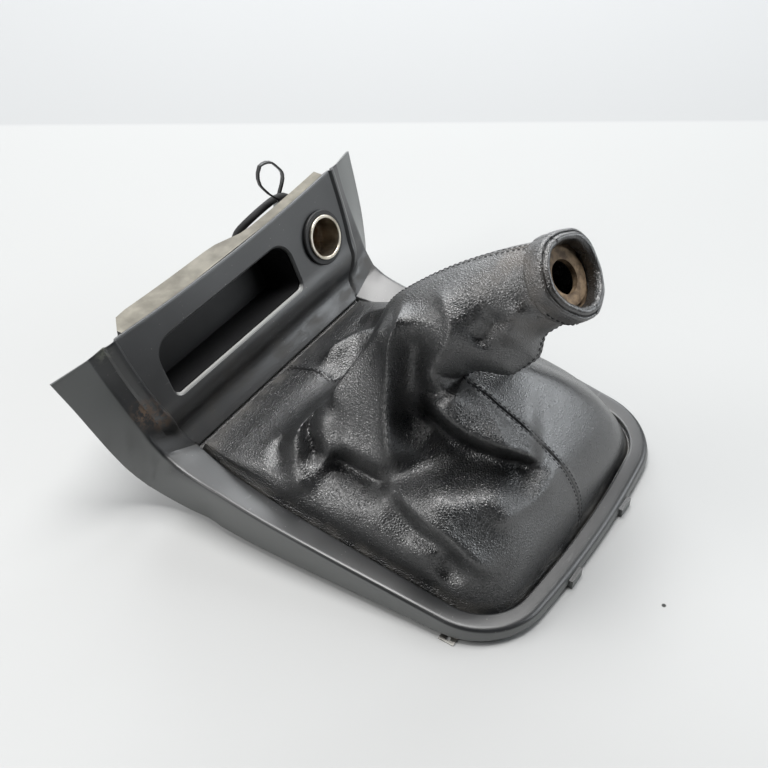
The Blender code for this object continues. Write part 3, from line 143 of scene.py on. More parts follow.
class Finish:
    """A material of the part and the nodes that make it."""

    def __init__(self, name, **constants):
        self.material = bpy.data.materials.new(name)
        self.material.use_nodes = True
        self.tree = self.material.node_tree
        self.shader = self.tree.nodes["Principled BSDF"]
        self.place = self.add("ShaderNodeTexCoord", output=3)
        for word, value in constants.items():
            self.feed(self.shader.inputs[SOCKETS.get(word, word.title())], value)

    def feed(self, socket, value):
        if isinstance(value, Value):
            self.tree.links.new(value.socket, socket)
        else:
            socket.default_value = value

    def add(self, kind, settings=None, sockets=None, output=0):
        node = self.tree.nodes.new(kind)
        for word, setting in (settings or {}).items():
            setattr(node, word, setting)
        for key, value in (sockets or {}).items():
            self.feed(node.inputs[key], value)
        return Value(self, node.outputs[output])

    def noise(self, scale, detail=3.0, stretch=None):
        where = self.place
        if stretch:
            where = self.add("ShaderNodeVectorMath", {"operation": "MULTIPLY"}, {0: where, 1: stretch})
        return self.add("ShaderNodeTexNoise", {}, {
            "Vector": where, "Scale": scale, "Detail": detail, "Roughness": 0.55,
        })

    def cells(self, scale, feature="F1", where=None):
        return self.add("ShaderNodeTexVoronoi", {"feature": feature}, {
            "Vector": where or self.place, "Scale": scale,
        })

    def axis(self, which):
        return self.add("ShaderNodeSeparateXYZ", {}, {0: self.place}, which)

    def facing(self, which):
        """How far the surface faces along an axis."""
        normal = self.add("ShaderNodeNewGeometry", {}, {}, 1)
        return self.add("ShaderNodeSeparateXYZ", {}, {0: normal}, which)

    def away(self, point):
        """Distance from a point given in the part's millimetres."""
        return self.add("ShaderNodeVectorMath", {"operation": "DISTANCE"}, {
            0: self.place, 1: tuple(placed(point)),
        }, 1)

    def spot(self, point, radius):
        """1 at the point, 0 from its radius on."""
        return self.away(point).between(radius * MM, 0.0)

    def mix(self, share, low, high):
        return self.add("ShaderNodeMix", {"data_type": "RGBA"}, {0: share, 6: low, 7: high}, 2)

    def bump(self, height, strength, distance, over=None):
        sockets = {"Height": height, "Strength": strength, "Distance": distance * MM}
        if over:
            sockets["Normal"] = over
        return self.add("ShaderNodeBump", {}, sockets)

    def color(self, value):
        self.feed(self.shader.inputs["Base Color"], value)

    def roughness(self, value):
        self.feed(self.shader.inputs["Roughness"], value)

    def normal(self, value):
        self.feed(self.shader.inputs["Normal"], value)


def rgb(red, green, blue):
    return (red, green, blue, 1.0)


# Where dust, rust, chalk, the lighter skirt and wing faces, the painted highlight on the cubby lip and the
# table's speck, wall line and painted shade lie: points in millimetres on the part, slopes as shares
RIM_SLOPE = 0.0795
NECK_SOIL = (0, 46, 138)
RUST_HIGH = (-89, 205, 49)
RUST_LOW = (-84, 200, 42)
CHALK = (-94, 221, 83)
CUBBY_LIP_Z = 49.7
WING_OUTER = 0.0883
WING_SPLAY = 0.1415
TABLE_SPECK = (-17.0, -43.8, -3.0)
TABLE_END = 0.3320
TABLE_ACROSS = (0.832, 0.555)


def grained_leather():
    finish = Finish("grained_leather", specular_ior_level=1.0, ior=1.68)
    drift = finish.noise(220.0, 2.0)
    swell = finish.add("ShaderNodeVectorMath", {"operation": "MULTIPLY_ADD"}, {
        0: finish.add("ShaderNodeTexNoise", {}, {"Vector": finish.place, "Scale": 700.0}, 1),
        1: (0.0006, 0.0006, 0.0006), 2: finish.place,
    })
    edge = finish.cells(760.0, "DISTANCE_TO_EDGE", swell)
    small = finish.cells(1500.0, "DISTANCE_TO_EDGE", swell)
    pebble = edge.between(0.0, 0.32) * 0.75 + small.between(0.0, 0.30) * 0.25
    wear = finish.noise(38.0, 4.0)
    base = finish.mix(pebble, rgb(0.0014, 0.0016, 0.0020), rgb(0.0046, 0.0052, 0.0062))
    faded = finish.mix((wear * 1.6 - 0.5).least(1.0).most(0.0), base, rgb(0.0085, 0.0093, 0.0105))
    height = finish.axis(2) - finish.axis(1) * RIM_SLOPE
    dust = height.between(0.0225, 0.0185) * finish.noise(90.0, 5.0).between(0.35, 0.75)
    dusty = finish.mix(dust * 0.55, faded, rgb(0.095, 0.085, 0.070))
    neck = finish.away(NECK_SOIL).between(0.034, 0.012) * finish.noise(55.0, 4.0).between(0.40, 0.70)
    tinted = finish.mix(neck * 0.42, dusty, rgb(0.120, 0.092, 0.068))
    finish.color(tinted)
    finish.roughness(0.21 + drift * 0.10 + dust * 0.28 + neck * 0.12 + (1.0 - pebble) * 0.10)
    creases = finish.bump(finish.noise(95.0, 3.0), 0.25, 1.2)
    stretched = finish.facing(1).between(-0.25, -0.55) * finish.axis(0).between(-0.03, 0.0)
    finish.normal(finish.bump(pebble * (1.0 - stretched * 0.6), 1.0, 0.18, creases))
    return finish.material


def waxed_thread():
    finish = Finish("waxed_thread")
    finish.color(finish.mix(finish.noise(900.0), rgb(0.006, 0.006, 0.007), rgb(0.022, 0.022, 0.024)))
    finish.roughness(0.55 + finish.noise(1500.0) * 0.2)
    finish.normal(finish.bump(finish.noise(4500.0, 1.0), 0.4, 0.08))
    return finish.material


def satin_moulding():
    finish = Finish("satin_moulding", specular_ior_level=1.0, ior=1.56)
    grain = finish.cells(2400.0)
    cloud = finish.noise(30.0, 5.0)
    base = finish.mix(cloud.between(0.3, 0.75), rgb(0.0065, 0.0072, 0.0085), rgb(0.0140, 0.0152, 0.0170))
    depth = finish.axis(1)
    level = finish.axis(2)
    hollow = depth.between(0.062, 0.074) * level.between(0.058, 0.036)
    grime = hollow * finish.noise(70.0, 6.0, (1.0, 2.5, 1.0)).between(0.42, 0.78)
    grimy = finish.mix(grime * 0.30, base, rgb(0.085, 0.073, 0.055))
    speck = finish.cells(330.0).between(0.13, 0.05) * finish.noise(60.0, 4.0).between(0.45, 0.62)
    dusted = finish.mix(speck * 0.55, grimy, rgb(0.30, 0.29, 0.27))
    scratch = finish.noise(420.0, 2.0, (0.15, 0.9, 1.0)).between(0.67, 0.74) * cloud.between(0.35, 0.65)
    scuffed = finish.mix(scratch * 0.35, dusted, rgb(0.16, 0.16, 0.165))
    flecks = finish.noise(420.0, 4.0).between(0.44, 0.58)
    rust = (finish.spot(RUST_HIGH, 11.0) + finish.spot(RUST_LOW, 7.0)).least(1.0) * flecks
    rusty = finish.mix(rust * 0.85, scuffed, rgb(0.150, 0.088, 0.048))
    chalk = finish.spot(CHALK, 6.0) * flecks
    chalked = finish.mix(chalk * 0.6, rusty, rgb(0.16, 0.17, 0.13))
    # Lighter grey-green on the skirt's low sideways faces and on the wings' outer faces, picked by where the
    # surface lies and which way it faces
    outer = abs(finish.axis(0)) - (WING_OUTER + level * WING_SPLAY)
    skirt = level.between(0.030, 0.020) * finish.facing(2).between(0.5, 0.3)
    tinted = (outer.between(0.0, 0.0012) * depth.between(0.06, 0.07)).most(skirt)
    skirted = finish.mix(tinted * 0.8, chalked, rgb(0.115, 0.122, 0.119))
    # Painted highlight: a light grey line along the cubby's lower lip, on its upward faces, where the edge
    # would catch the light
    below = level.between((CUBBY_LIP_Z - 1.9) * MM, (CUBBY_LIP_Z - 0.9) * MM)
    above = level.between((CUBBY_LIP_Z + 1.9) * MM, (CUBBY_LIP_Z + 0.9) * MM)
    lip = below * above * finish.facing(2).between(0.5, 0.75)
    finish.color(finish.mix(lip * 0.85, skirted, rgb(0.42, 0.42, 0.41)))
    finish.roughness(0.31 + cloud * 0.16 + grime * 0.30 + speck * 0.2 + rust * 0.3)
    finish.normal(finish.bump(grain, 0.16, 0.05, finish.bump(finish.noise(520.0), 0.12, 0.08)))
    return finish.material


def rough_black(name, low, high, roughness):
    """Moulded black plastic that is mostly out of sight."""
    finish = Finish(name)
    cloud = finish.noise(140.0, 4.0)
    finish.color(finish.mix(cloud.between(0.3, 0.7), low, high))
    finish.roughness(roughness + cloud * 0.15)
    finish.normal(finish.bump(finish.noise(1600.0, 2.0), 0.20, 0.06))
    return finish.material


def dusty_carrier():
    finish = Finish("dusty_carrier")
    cloud = finish.noise(120.0, 5.0)
    base = finish.mix(cloud, rgb(0.008, 0.008, 0.009), rgb(0.019, 0.019, 0.020))
    top = finish.facing(2).between(0.55, 0.92) * finish.axis(2).between(0.083, 0.088)
    stain = finish.noise(60.0, 4.0).between(0.25, 0.70)
    shade = finish.mix(stain, rgb(0.21, 0.195, 0.160), rgb(0.33, 0.31, 0.26))
    finish.color(finish.mix(top * (0.55 + 0.45 * cloud), base, shade))
    finish.roughness(0.50 + top * 0.35)
    finish.normal(finish.bump(finish.noise(900.0), 0.25, 0.10))
    return finish.material


def plated_metal(name, low, high, roughness, rust=0.0, rust_at=None):
    finish = Finish(name, metallic=1.0)
    tarnish = finish.noise(160.0, 5.0)
    base = finish.mix(tarnish.between(0.3, 0.7), low, high)
    rough = roughness + tarnish * 0.16 + finish.noise(1300.0) * 0.06
    if rust_at is not None:
        mouth, start, full = rust_at
        depth = finish.away(mouth).between(start * MM, full * MM)
        eaten = depth * (rust + (1.0 - rust) * finish.noise(240.0, 6.0).between(0.3, 0.6))
        base = finish.mix(eaten, base, rgb(0.16, 0.085, 0.042))
        rough = rough + eaten * 0.45
        finish.feed(finish.shader.inputs["Metallic"], 1.0 - eaten * 0.85)
    finish.color(base)
    finish.roughness(rough)
    finish.normal(finish.bump(finish.noise(1100.0), 0.10, 0.05))
    return finish.material


def tan_ring():
    finish = Finish("tan_ring")
    stain = finish.noise(260.0, 6.0)
    finish.color(finish.mix(stain.between(0.3, 0.7), rgb(0.105, 0.068, 0.040), rgb(0.34, 0.245, 0.155)))
    finish.roughness(0.62 + stain * 0.2)
    finish.normal(finish.bump(finish.noise(1200.0), 0.30, 0.10))
    return finish.material


def cloth_tape():
    finish = Finish("cloth_tape")
    weave = finish.noise(2600.0, 1.0)
    wind = finish.add("ShaderNodeTexWave", {"wave_type": "BANDS", "bands_direction": "DIAGONAL"}, {
        "Vector": finish.place, "Scale": 55.0, "Distortion": 1.2, "Detail": 2.0,
    })
    finish.color(finish.mix(weave, rgb(0.008, 0.008, 0.009), rgb(0.030, 0.030, 0.031)))
    finish.roughness(0.62 + weave * 0.2)
    finish.normal(finish.bump(wind, 0.35, 0.25, finish.bump(weave, 0.4, 0.08)))
    return finish.material


def brown_board():
    finish = Finish("brown_board")
    stain = finish.noise(300.0, 5.0)
    finish.color(finish.mix(stain, rgb(0.09, 0.045, 0.022), rgb(0.24, 0.13, 0.06)))
    finish.roughness(0.68 + stain * 0.15)
    finish.normal(finish.bump(finish.noise(1800.0), 0.3, 0.06))
    return finish.material


def pale_table():
    finish = Finish("pale_table")
    weave = finish.noise(900.0, 2.0)
    cloud = finish.noise(3.0, 3.0)
    beyond = finish.axis(0) * TABLE_ACROSS[0] + finish.axis(1) * TABLE_ACROSS[1]
    near = finish.mix(cloud.between(0.3, 0.7), rgb(0.515, 0.52, 0.52), rgb(0.53, 0.535, 0.535))
    # Painted shade: the table's colour darkens towards the wall to hold back the wall lamp's light on it
    shade = finish.mix(beyond.between(-0.25, 0.33), near, rgb(0.415, 0.42, 0.42))
    wall = beyond.between(TABLE_END - 0.0005, TABLE_END + 0.0010)
    line = beyond.between(TABLE_END - 0.0035, TABLE_END)
    line = line * beyond.between(TABLE_END + 0.0025, TABLE_END + 0.0005)
    shade = finish.mix(wall, shade, rgb(0.365, 0.37, 0.375))
    shade = finish.mix(line * 0.5, shade, rgb(0.37, 0.37, 0.38))
    speck = finish.away(TABLE_SPECK).between(0.0014, 0.0007)
    finish.color(finish.mix(speck, shade, rgb(0.04, 0.04, 0.04)))
    finish.roughness(0.78 + weave * 0.1)
    finish.normal(finish.bump(weave, 0.12, 0.15))
    return finish.material


def add_piece(name, points, faces, finish):
    """A mesh given in the part's millimetres, shaded smooth but for its corners."""
    mesh = bpy.data.meshes.new(name)
    mesh.from_pydata([tuple(p) for p in placed(points)], [], [tuple(f) for f in faces])
    mesh.validate()
    mesh.shade_smooth()
    mesh.set_sharp_from_angle(angle=math.radians(40))
    mesh.materials.append(finish)
    made = put(name, mesh)
    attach(made, "root")
    return made


def tube_faces(rows, around):
    faces = []
    for row in range(rows - 1):
        low = row * around
        high = low + around
        for k in range(around):
            after = (k + 1) % around
            faces.append((low + k, low + after, high + after, high + k))
    return faces


def closed_tube_faces(rows, around):
    """Faces of a tube and of its two ends."""
    ends = [tuple(reversed(range(around))), tuple(range((rows - 1) * around, rows * around))]
    return tube_faces(rows, around) + ends


def join(points, faces, more_points, more_faces):
    """Add one body's points and faces to those of the bodies before it."""
    faces += [tuple(len(points) + n for n in face) for face in more_faces]
    points += list(more_points)


def smooth_curve(points, count):
    """Evenly spaced points of a smooth curve through the given points."""
    points = np.asarray(points, float)
    lengths = np.linalg.norm(np.diff(points, axis=0), axis=1)
    knots = np.concatenate([[0.0], np.cumsum(lengths)]) / lengths.sum()
    return read_curve(knots, points, np.gradient(points, knots, axis=0), np.linspace(0.0, 1.0, count))


def read_curve(knots, values, slopes, queries):
    """Values of a smooth curve with given slopes at its knots."""
    made = []
    for query in queries:
        k = int(np.clip(np.searchsorted(knots, query, side="right") - 1, 0, len(knots) - 2))
        span = knots[k + 1] - knots[k]
        f = (query - knots[k]) / span
        made.append(
            (2 * f**3 - 3 * f**2 + 1) * values[k] + (f**3 - 2 * f**2 + f) * span * slopes[k]
            + (3 * f**2 - 2 * f**3) * values[k + 1] + (f**3 - f**2) * span * slopes[k + 1]
        )
    return np.array(made)


# Opening for the gaiter, in millimetres
OPENING_HALF_WIDTH = 78.5
OPENING_REAR_Y = 7.5
OPENING_FRONT_Y = 190.0
OPENING_FRONT_HALF_WIDTH = 71.0
OPENING_CORNER_RADIUS = 26.0
OPENING_REAR_BOW = 2.8
OPENING_REAR_Z = 5.5
OPENING_FRONT_Z = 20.0
TAPER_START_Y = 60.0
TAPER_POWER = 4.5
REAR_STEPS = 14
CORNER_STEPS = 22
SIDE_STEPS = 40
SILL_STEPS = 40


def opening_z(y):
    share = (y - OPENING_REAR_Y) / (OPENING_FRONT_Y - OPENING_REAR_Y)
    return OPENING_REAR_Z + (OPENING_FRONT_Z - OPENING_REAR_Z) * share


def opening_side_x(y):
    taper = max(y - TAPER_START_Y, 0.0) / (OPENING_FRONT_Y - TAPER_START_Y)
    return OPENING_HALF_WIDTH - (OPENING_HALF_WIDTH - OPENING_FRONT_HALF_WIDTH) * taper**TAPER_POWER


def opening_half():
    """Right half of the opening: x, y and outward direction, from the rear middle to the sill."""
    centre_x = OPENING_HALF_WIDTH - OPENING_CORNER_RADIUS
    slope = math.atan(2 * OPENING_REAR_BOW / centre_x)
    bow_end_x = centre_x + OPENING_CORNER_RADIUS * math.sin(slope)
    centre_y = OPENING_REAR_Y + OPENING_REAR_BOW + OPENING_CORNER_RADIUS * math.cos(slope)
    points = []
    for k in range(REAR_STEPS):
        share = k / REAR_STEPS
        turn = slope * share
        y = OPENING_REAR_Y + OPENING_REAR_BOW * share**2
        points.append((bow_end_x * share, y, math.sin(turn), -math.cos(turn)))
    for k in range(CORNER_STEPS):
        turn = slope - math.pi / 2 + (math.pi / 2 - slope) * k / CORNER_STEPS
        out_x = math.cos(turn)
        out_y = math.sin(turn)
        points.append((
            centre_x + OPENING_CORNER_RADIUS * out_x, centre_y + OPENING_CORNER_RADIUS * out_y,
            out_x, out_y,
        ))
    for k in range(SIDE_STEPS + 1):
        y = centre_y + (OPENING_FRONT_Y - centre_y) * k / SIDE_STEPS
        points.append((opening_side_x(y), y, 1.0, 0.0))
    return points


def opening_loop():
    half = opening_half()
    corner_x, corner_y = half[-1][:2]
    diagonal = math.sqrt(0.5)
    half[-1] = (corner_x, corner_y, diagonal, diagonal)
    sill = []
    for k in range(1, SILL_STEPS):
        sill.append((OPENING_FRONT_HALF_WIDTH * (1 - 2 * k / SILL_STEPS), OPENING_FRONT_Y, 0.0, 1.0))
    left = [(-x, y, -nx, ny) for x, y, nx, ny in reversed(half[1:])]
    return half + sill + left


# Lead behind the socket: the same route as the solid's, in millimetres
LEAD_ROUTE = (
    (59.2, 248.6, 45.0), (54, 250, 46), (46, 251.5, 50), (38.5, 250, 58), (36, 245, 67), (41, 240, 74),
    (51, 238.5, 76.5), (62, 238.8, 76), (72, 240, 71.5), (79, 241, 63), (81, 241.5, 55),
)
LEAD_RADIUS = 2.2
LEAD_POINTS = 24


def make_lead():
    data = bpy.data.curves.new("taped_lead", "CURVE")
    data.dimensions = "3D"
    route = placed(smooth_curve(LEAD_ROUTE, LEAD_POINTS))
    spline = data.splines.new("POLY")
    spline.points.add(len(route) - 1)
    for point, where in zip(spline.points, route):
        point.co = (*where, 1.0)
    data.bevel_depth = LEAD_RADIUS * MM
    data.bevel_resolution = 4
    data.use_fill_caps = True
    data.materials.append(cloth_tape())
    lead = put("taped_lead", data)
    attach(lead, "root")
    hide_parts("socket_lead")


make_lead()


# Leather: rows at the hem and the collar as reach out from the edge and level, in millimetres
HEM_ROWS = ((4.6, -2.7), (-0.6, -2.7), (-1.6, -1.2), (-2.4, 1.0))
COLLAR_ROWS = (
    (18.3, -4.4), (19.8, -3.6), (20.2, 0.0), (20.2, 4.2), (19.8, 6.0), (19.1, 6.5), (18.5, 5.9),
    (18.0, 7.2), (16.9, 8.3), (15.6, 8.0), (14.6, 6.4), (14.3, 4.0), (14.2, 1.2),
)
NECK_ROOT = (-8.0, 88.0, 99.0)
NECK_ROOT_AXIS = (0.15, -0.70, 0.70)
NECK_ROOT_RADIUS = 24.0
NECK_SLACK = 1.5
COLLAR = (4.8, 35.8, 143.0)
COLLAR_AXIS = (-0.030, -0.752, 0.658)
COLLAR_RADIUS = 18.0
COLLAR_FOOT = -5.0
COLLAR_GROWTH = 4.0
COLLAR_WIDER = ((0.020, 3, 0.5), (0.014, 5, 2.0), (0.006, 11, 0.0))
COLLAR_HIGHER = ((0.6, 2, 1.0), (0.4, 3, 0.0))
GAITER_AROUND = 250
GAITER_BODY_ROWS = 130
GAITER_NECK_ROWS = 64
ROLL_STEPS = 4
SMOOTHING = 2
SEAM_COLUMNS = (0.4, 0.8, 1.2, 1.6, 2.0, 2.5, 3.2, 4.2)

# Section lines of the leather by turn from the rear seam to the right, from hem to neck
GAITER_LINES = {
    0: ((-1, 13, 26), (-5, 22, 45), (-10, 40, 63), (-13, 57, 75)),
    30: ((50, 14, 24), (42, 24, 44), (28, 40, 64), (10, 57, 80)),
    52: ((71, 40, 23), (57, 49, 41), (41, 60, 57), (23, 70, 76)),
    96: ((71, 111, 29), (57, 106, 47), (41, 100, 67), (26, 94, 84)),
    140: ((66, 174, 27), (56, 156, 38), (42, 138, 60), (24, 120, 88)),
    180: ((0, 170, 27), (-2, 149, 33), (-2, 133, 60), (-3, 120, 96)),
    205: ((-42, 172, 25), (-36, 151, 33), (-27, 133, 58), (-14, 118, 95)),
    220: ((-66, 172, 24), (-57, 150, 32), (-42, 129, 58), (-26, 112, 91)),
    245: ((-72, 138, 25), (-62, 121, 36), (-49, 111, 60), (-36, 102, 87)),
    264: ((-73, 105, 26), (-62, 92, 38), (-49, 90, 54), (-36, 90, 81)),
    282: ((-73, 72, 28), (-62, 66, 46), (-40, 74, 54), (-32, 78, 78)),
    305: ((-73, 42, 26), (-60, 46, 46), (-38, 56, 53), (-29, 60, 70)),
    325: ((-57, 18, 26), (-45, 28, 46), (-30, 38, 56), (-24, 50, 70)),
    345: ((-25, 14, 26), (-22, 24, 46), (-19, 38, 60), (-19, 54, 75)),
}

# Directions of the folds: out of the left rear side, along it to the rear, and up it
FOLD_OUT = (-0.613, -0.409, 0.676)
FOLD_REARWARD = (0.555, -0.832, 0.000)
FOLD_UP = (0.562, 0.375, 0.737)
REARWARD = (0, 1, 0)
UPWARD = (0, 0, 1)

# Folds: line, push, wide side, width there and on the other, 1 crease to 2 roll, share of fading ends
GAITER_FOLDS = (
    (((-17, 101, 117), (-25, 100, 111), (-31, 100, 100), (-36, 98, 87), (-42, 95, 71), (-48, 90, 56),
      (-56, 83, 45)),
     (15, -1, 0), REARWARD, 13, 5, 0.85, 0.15),
    (((-26, 84, 118), (-31, 86, 104), (-36, 86, 88), (-39, 84, 72), (-38, 72, 62)),
     (-12, 0, 0), UPWARD, 9, 9, 2.0, 0.25),
    (((-13, 88, 128), (-21, 80, 126), (-25, 74, 120), (-27, 73, 114), (-29, 75, 107), (-30, 79, 95),
      (-32, 81, 82)),
     (7, 0, 0), REARWARD, 9, 4, 1.0, 0.20),
    (((-32, 81, 82), (-32, 79, 78), (-32, 70, 71), (-30, 57, 65), (-27, 45, 62), (-21, 36, 57),
      (-12, 27, 51)),
     (13, 0, 0), UPWARD, 13, 4, 1.0, 0.16),
    (((-33, 84, 84), (-33, 81, 77), (-33, 72, 67), (-32, 58, 61), (-29, 44, 59), (-22, 32, 54),
      (-15, 25, 48)),
     (-12, 0, 0), UPWARD, 3.5, 12, 1.6, 0.20),
    (((-12, 27, 51), (-14, 22, 44), (-27, 22, 42), (-40, 24, 44), (-56, 32, 42)),
     (4, 0, 0), UPWARD, 8, 4, 1.2, 0.20),
    (((-60, 71, 46), (-58, 56, 48), (-48, 41, 49), (-32, 29, 51)), (6, 0, 2), UPWARD, 12, 12, 2.0, 0.30),
    (((-57, 82, 45), (-64, 70, 43), (-67, 58, 41), (-68, 47, 39), (-67, 38, 33), (-66, 29, 27),
      (-65, 21, 20)),
     (10, 0, 0), UPWARD, 9, 4, 1.0, 0.20),
    (((-60, 84, 42), (-67, 72, 39), (-70, 60, 35), (-71, 48, 33), (-71, 38, 26), (-70, 29, 20)),
     (-8, 0, 0), UPWARD, 4, 9, 1.5, 0.25),
    (((-59, 82, 43), (-59, 89, 41), (-59, 98, 42), (-59, 109, 42), (-58, 119, 43)),
     (-12, 0, 0), UPWARD, 4, 9, 1.5, 0.15),
    (((-58, 86, 48), (-57, 98, 49), (-56, 109, 50), (-55, 118, 50)), (5, 0, 0), UPWARD, 9, 3, 1.3, 0.20),
    (((-24, 101, 110), (-25, 110, 95), (-28, 117, 83), (-36, 122, 70), (-45, 128, 58)),
     (5, -4, 0), REARWARD, 9, 4, 1.3, 0.20),
    (((-15, 112, 103), (-16, 122, 86), (-20, 130, 72), (-30, 138, 58), (-40, 142, 48)),
     (0, 0, -12), REARWARD, 4, 9, 1.5, 0.20),
    (((-40, 143, 46), (-54, 140, 41), (-60, 136, 37), (-67, 131, 31), (-73, 122, 24)),
     (10, 0, 0), REARWARD, 6, 5, 1.1, 0.20),
    (((-50, 152, 33), (-62, 146, 31), (-70, 138, 27)), (-6, 0, 0), REARWARD, 4, 4, 1.6, 0.30),
    (((-40, 140, 50), (-50, 136, 47), (-58, 128, 42), (-64, 122, 36)),
     (-10, 0, 0), REARWARD, 4, 4, 1.5, 0.20),
    (((-44, 130, 55), (-50, 125, 51), (-56, 118, 45), (-61, 110, 39)),
     (5, 0, 0), REARWARD, 4, 3, 1.3, 0.25),
    (((6, 172, 27), (18, 166, 29), (30, 161, 32), (34, 150, 40)), (4, -1, 6), UPWARD, 4, 4, 1.5, 0.30),
    (((-6, 160, 29), (4, 158, 31), (14, 154, 33), (20, 146, 42)), (-4, 1, -5), UPWARD, 4, 4, 1.5, 0.30),
    (((48, 172, 28), (50, 160, 34), (44, 150, 46)), (3, -1, 4), UPWARD, 6, 6, 1.6, 0.30),
    (((-76, 67, 27), (-74, 50, 30), (-66, 40, 34)), (3, 0, 0), UPWARD, 5, 5, 1.8, 0.30),
    (((-77, 46, 22), (-75, 39, 22), (-72, 32, 22)), (-3, 0, 0), UPWARD, 5, 5, 1.8, 0.30),
    (((8, 44, 116), (2, 52, 108), (-8, 60, 100), (-18, 66, 92)), (0, 7, -8), UPWARD, 14, 14, 2.0, 0.35),
    (((-24, 63, 113), (-20, 56, 124), (-17, 54, 132)), (-5, 0, 0), REARWARD, 4, 5, 1.6, 0.25),
    (((-17, 52, 113), (-16, 48, 126), (-14, 46, 139)), (3, 0, 0), REARWARD, 5, 4, 1.5, 0.30),
)


def unit(vector):
    return np.asarray(vector, float) / np.linalg.norm(vector)


def periodic_curve(knots, values, queries):
    """Smooth closed curve through values at knots in degrees, read at the queries."""
    knots = np.concatenate([[knots[-1] - 360.0], knots, [knots[0] + 360.0, knots[1] + 360.0]])
    values = np.concatenate([values[-1:], values, values[:2]])
    slopes = np.zeros_like(values)
    for k in range(1, len(knots) - 1):
        before = knots[k] - knots[k - 1]
        after = knots[k + 1] - knots[k]
        rise_before = (values[k] - values[k - 1]) / before
        rise_after = (values[k + 1] - values[k]) / after
        slopes[k] = (rise_before * after + rise_after * before) / (before + after)
    return read_curve(knots, values, slopes, queries)


def neck_ring(centre, axis, radius, turns):
    """Circle round the lever, its zero turned to the rear seam."""
    axis = unit(axis)
    rear = unit(np.array([0.0, -1.0, 0.0]) + axis[1] * axis)
    right = np.cross(axis, rear)
    return np.asarray(centre) + radius * (np.outer(np.cos(turns), rear) + np.outer(np.sin(turns), right))


def hem_loop(shares):
    """Opening's outline at shares of its length, with outward directions."""
    loop = np.array(opening_loop() + opening_loop()[:1])
    lengths = np.concatenate([[0.0], np.cumsum(np.linalg.norm(np.diff(loop[:, :2], axis=0), axis=1))])
    places = np.stack([np.interp(shares * lengths[-1], lengths, loop[:, k]) for k in range(4)], axis=1)
    places[:, 2:] /= np.linalg.norm(places[:, 2:], axis=1)[:, None]
    return places, lengths[-1]


def seam_shares():
    """Columns round the gaiter, closer together at the rear and the front seam."""
    length = hem_loop(np.zeros(1))[1]
    shares = set(np.arange(GAITER_AROUND) / GAITER_AROUND)
    for seam in (0.0, 0.5):
        for away in SEAM_COLUMNS:
            shares.add((seam + away / length) % 1.0)
            shares.add((seam - away / length) % 1.0)
    return np.array(sorted(shares))


def eased(share):
    """From 0 to 1 with no corner at either end."""
    inside = np.clip(share, 0.0, 1.0)
    return inside * inside * (3 - 2 * inside)


def push_fold(flat, path, push, side, wide, narrow, power, fade):
    """How far one fold moves each point: its full push on the line, none a few widths away."""
    axes = np.array((FOLD_OUT, FOLD_REARWARD, FOLD_UP))
    line = smooth_curve(path, 40)
    nearest = np.full(len(flat), 1000.0)
    offsets = np.zeros_like(flat)
    along = np.zeros(len(flat))
    for k in range(len(line) - 1):
        step = line[k + 1] - line[k]
        where = np.clip((flat - line[k]) @ step / (step @ step), 0.0, 1.0)
        offset = flat - line[k] - where[:, None] * step
        distance = np.linalg.norm(offset, axis=1)
        closer = distance < nearest
        nearest[closer] = distance[closer]
        offsets[closer] = offset[closer]
        along[closer] = (k + where[closer]) / (len(line) - 1)
    share = eased(0.5 + offsets @ (np.array(side, float) @ axes) / np.maximum(nearest, 0.3))
    reach = narrow + (wide - narrow) * share
    amount = np.exp(-((nearest / reach) ** power)) * eased(np.minimum(along, 1 - along) / fade)
    return amount[:, None] * (np.array(push, float) @ axes)


def smoothed(grid, times):
    """Each point moved toward its neighbours round and along the leather, its end rows kept."""
    for _ in range(times):
        round_it = (np.roll(grid, 1, axis=1) + np.roll(grid, -1, axis=1)) / 2
        along_it = (grid[:-2] + grid[2:]) / 2
        inner = grid.copy()
        inner[1:-1] = (grid[1:-1] + round_it[1:-1] + along_it) / 3
        grid = inner
    return grid


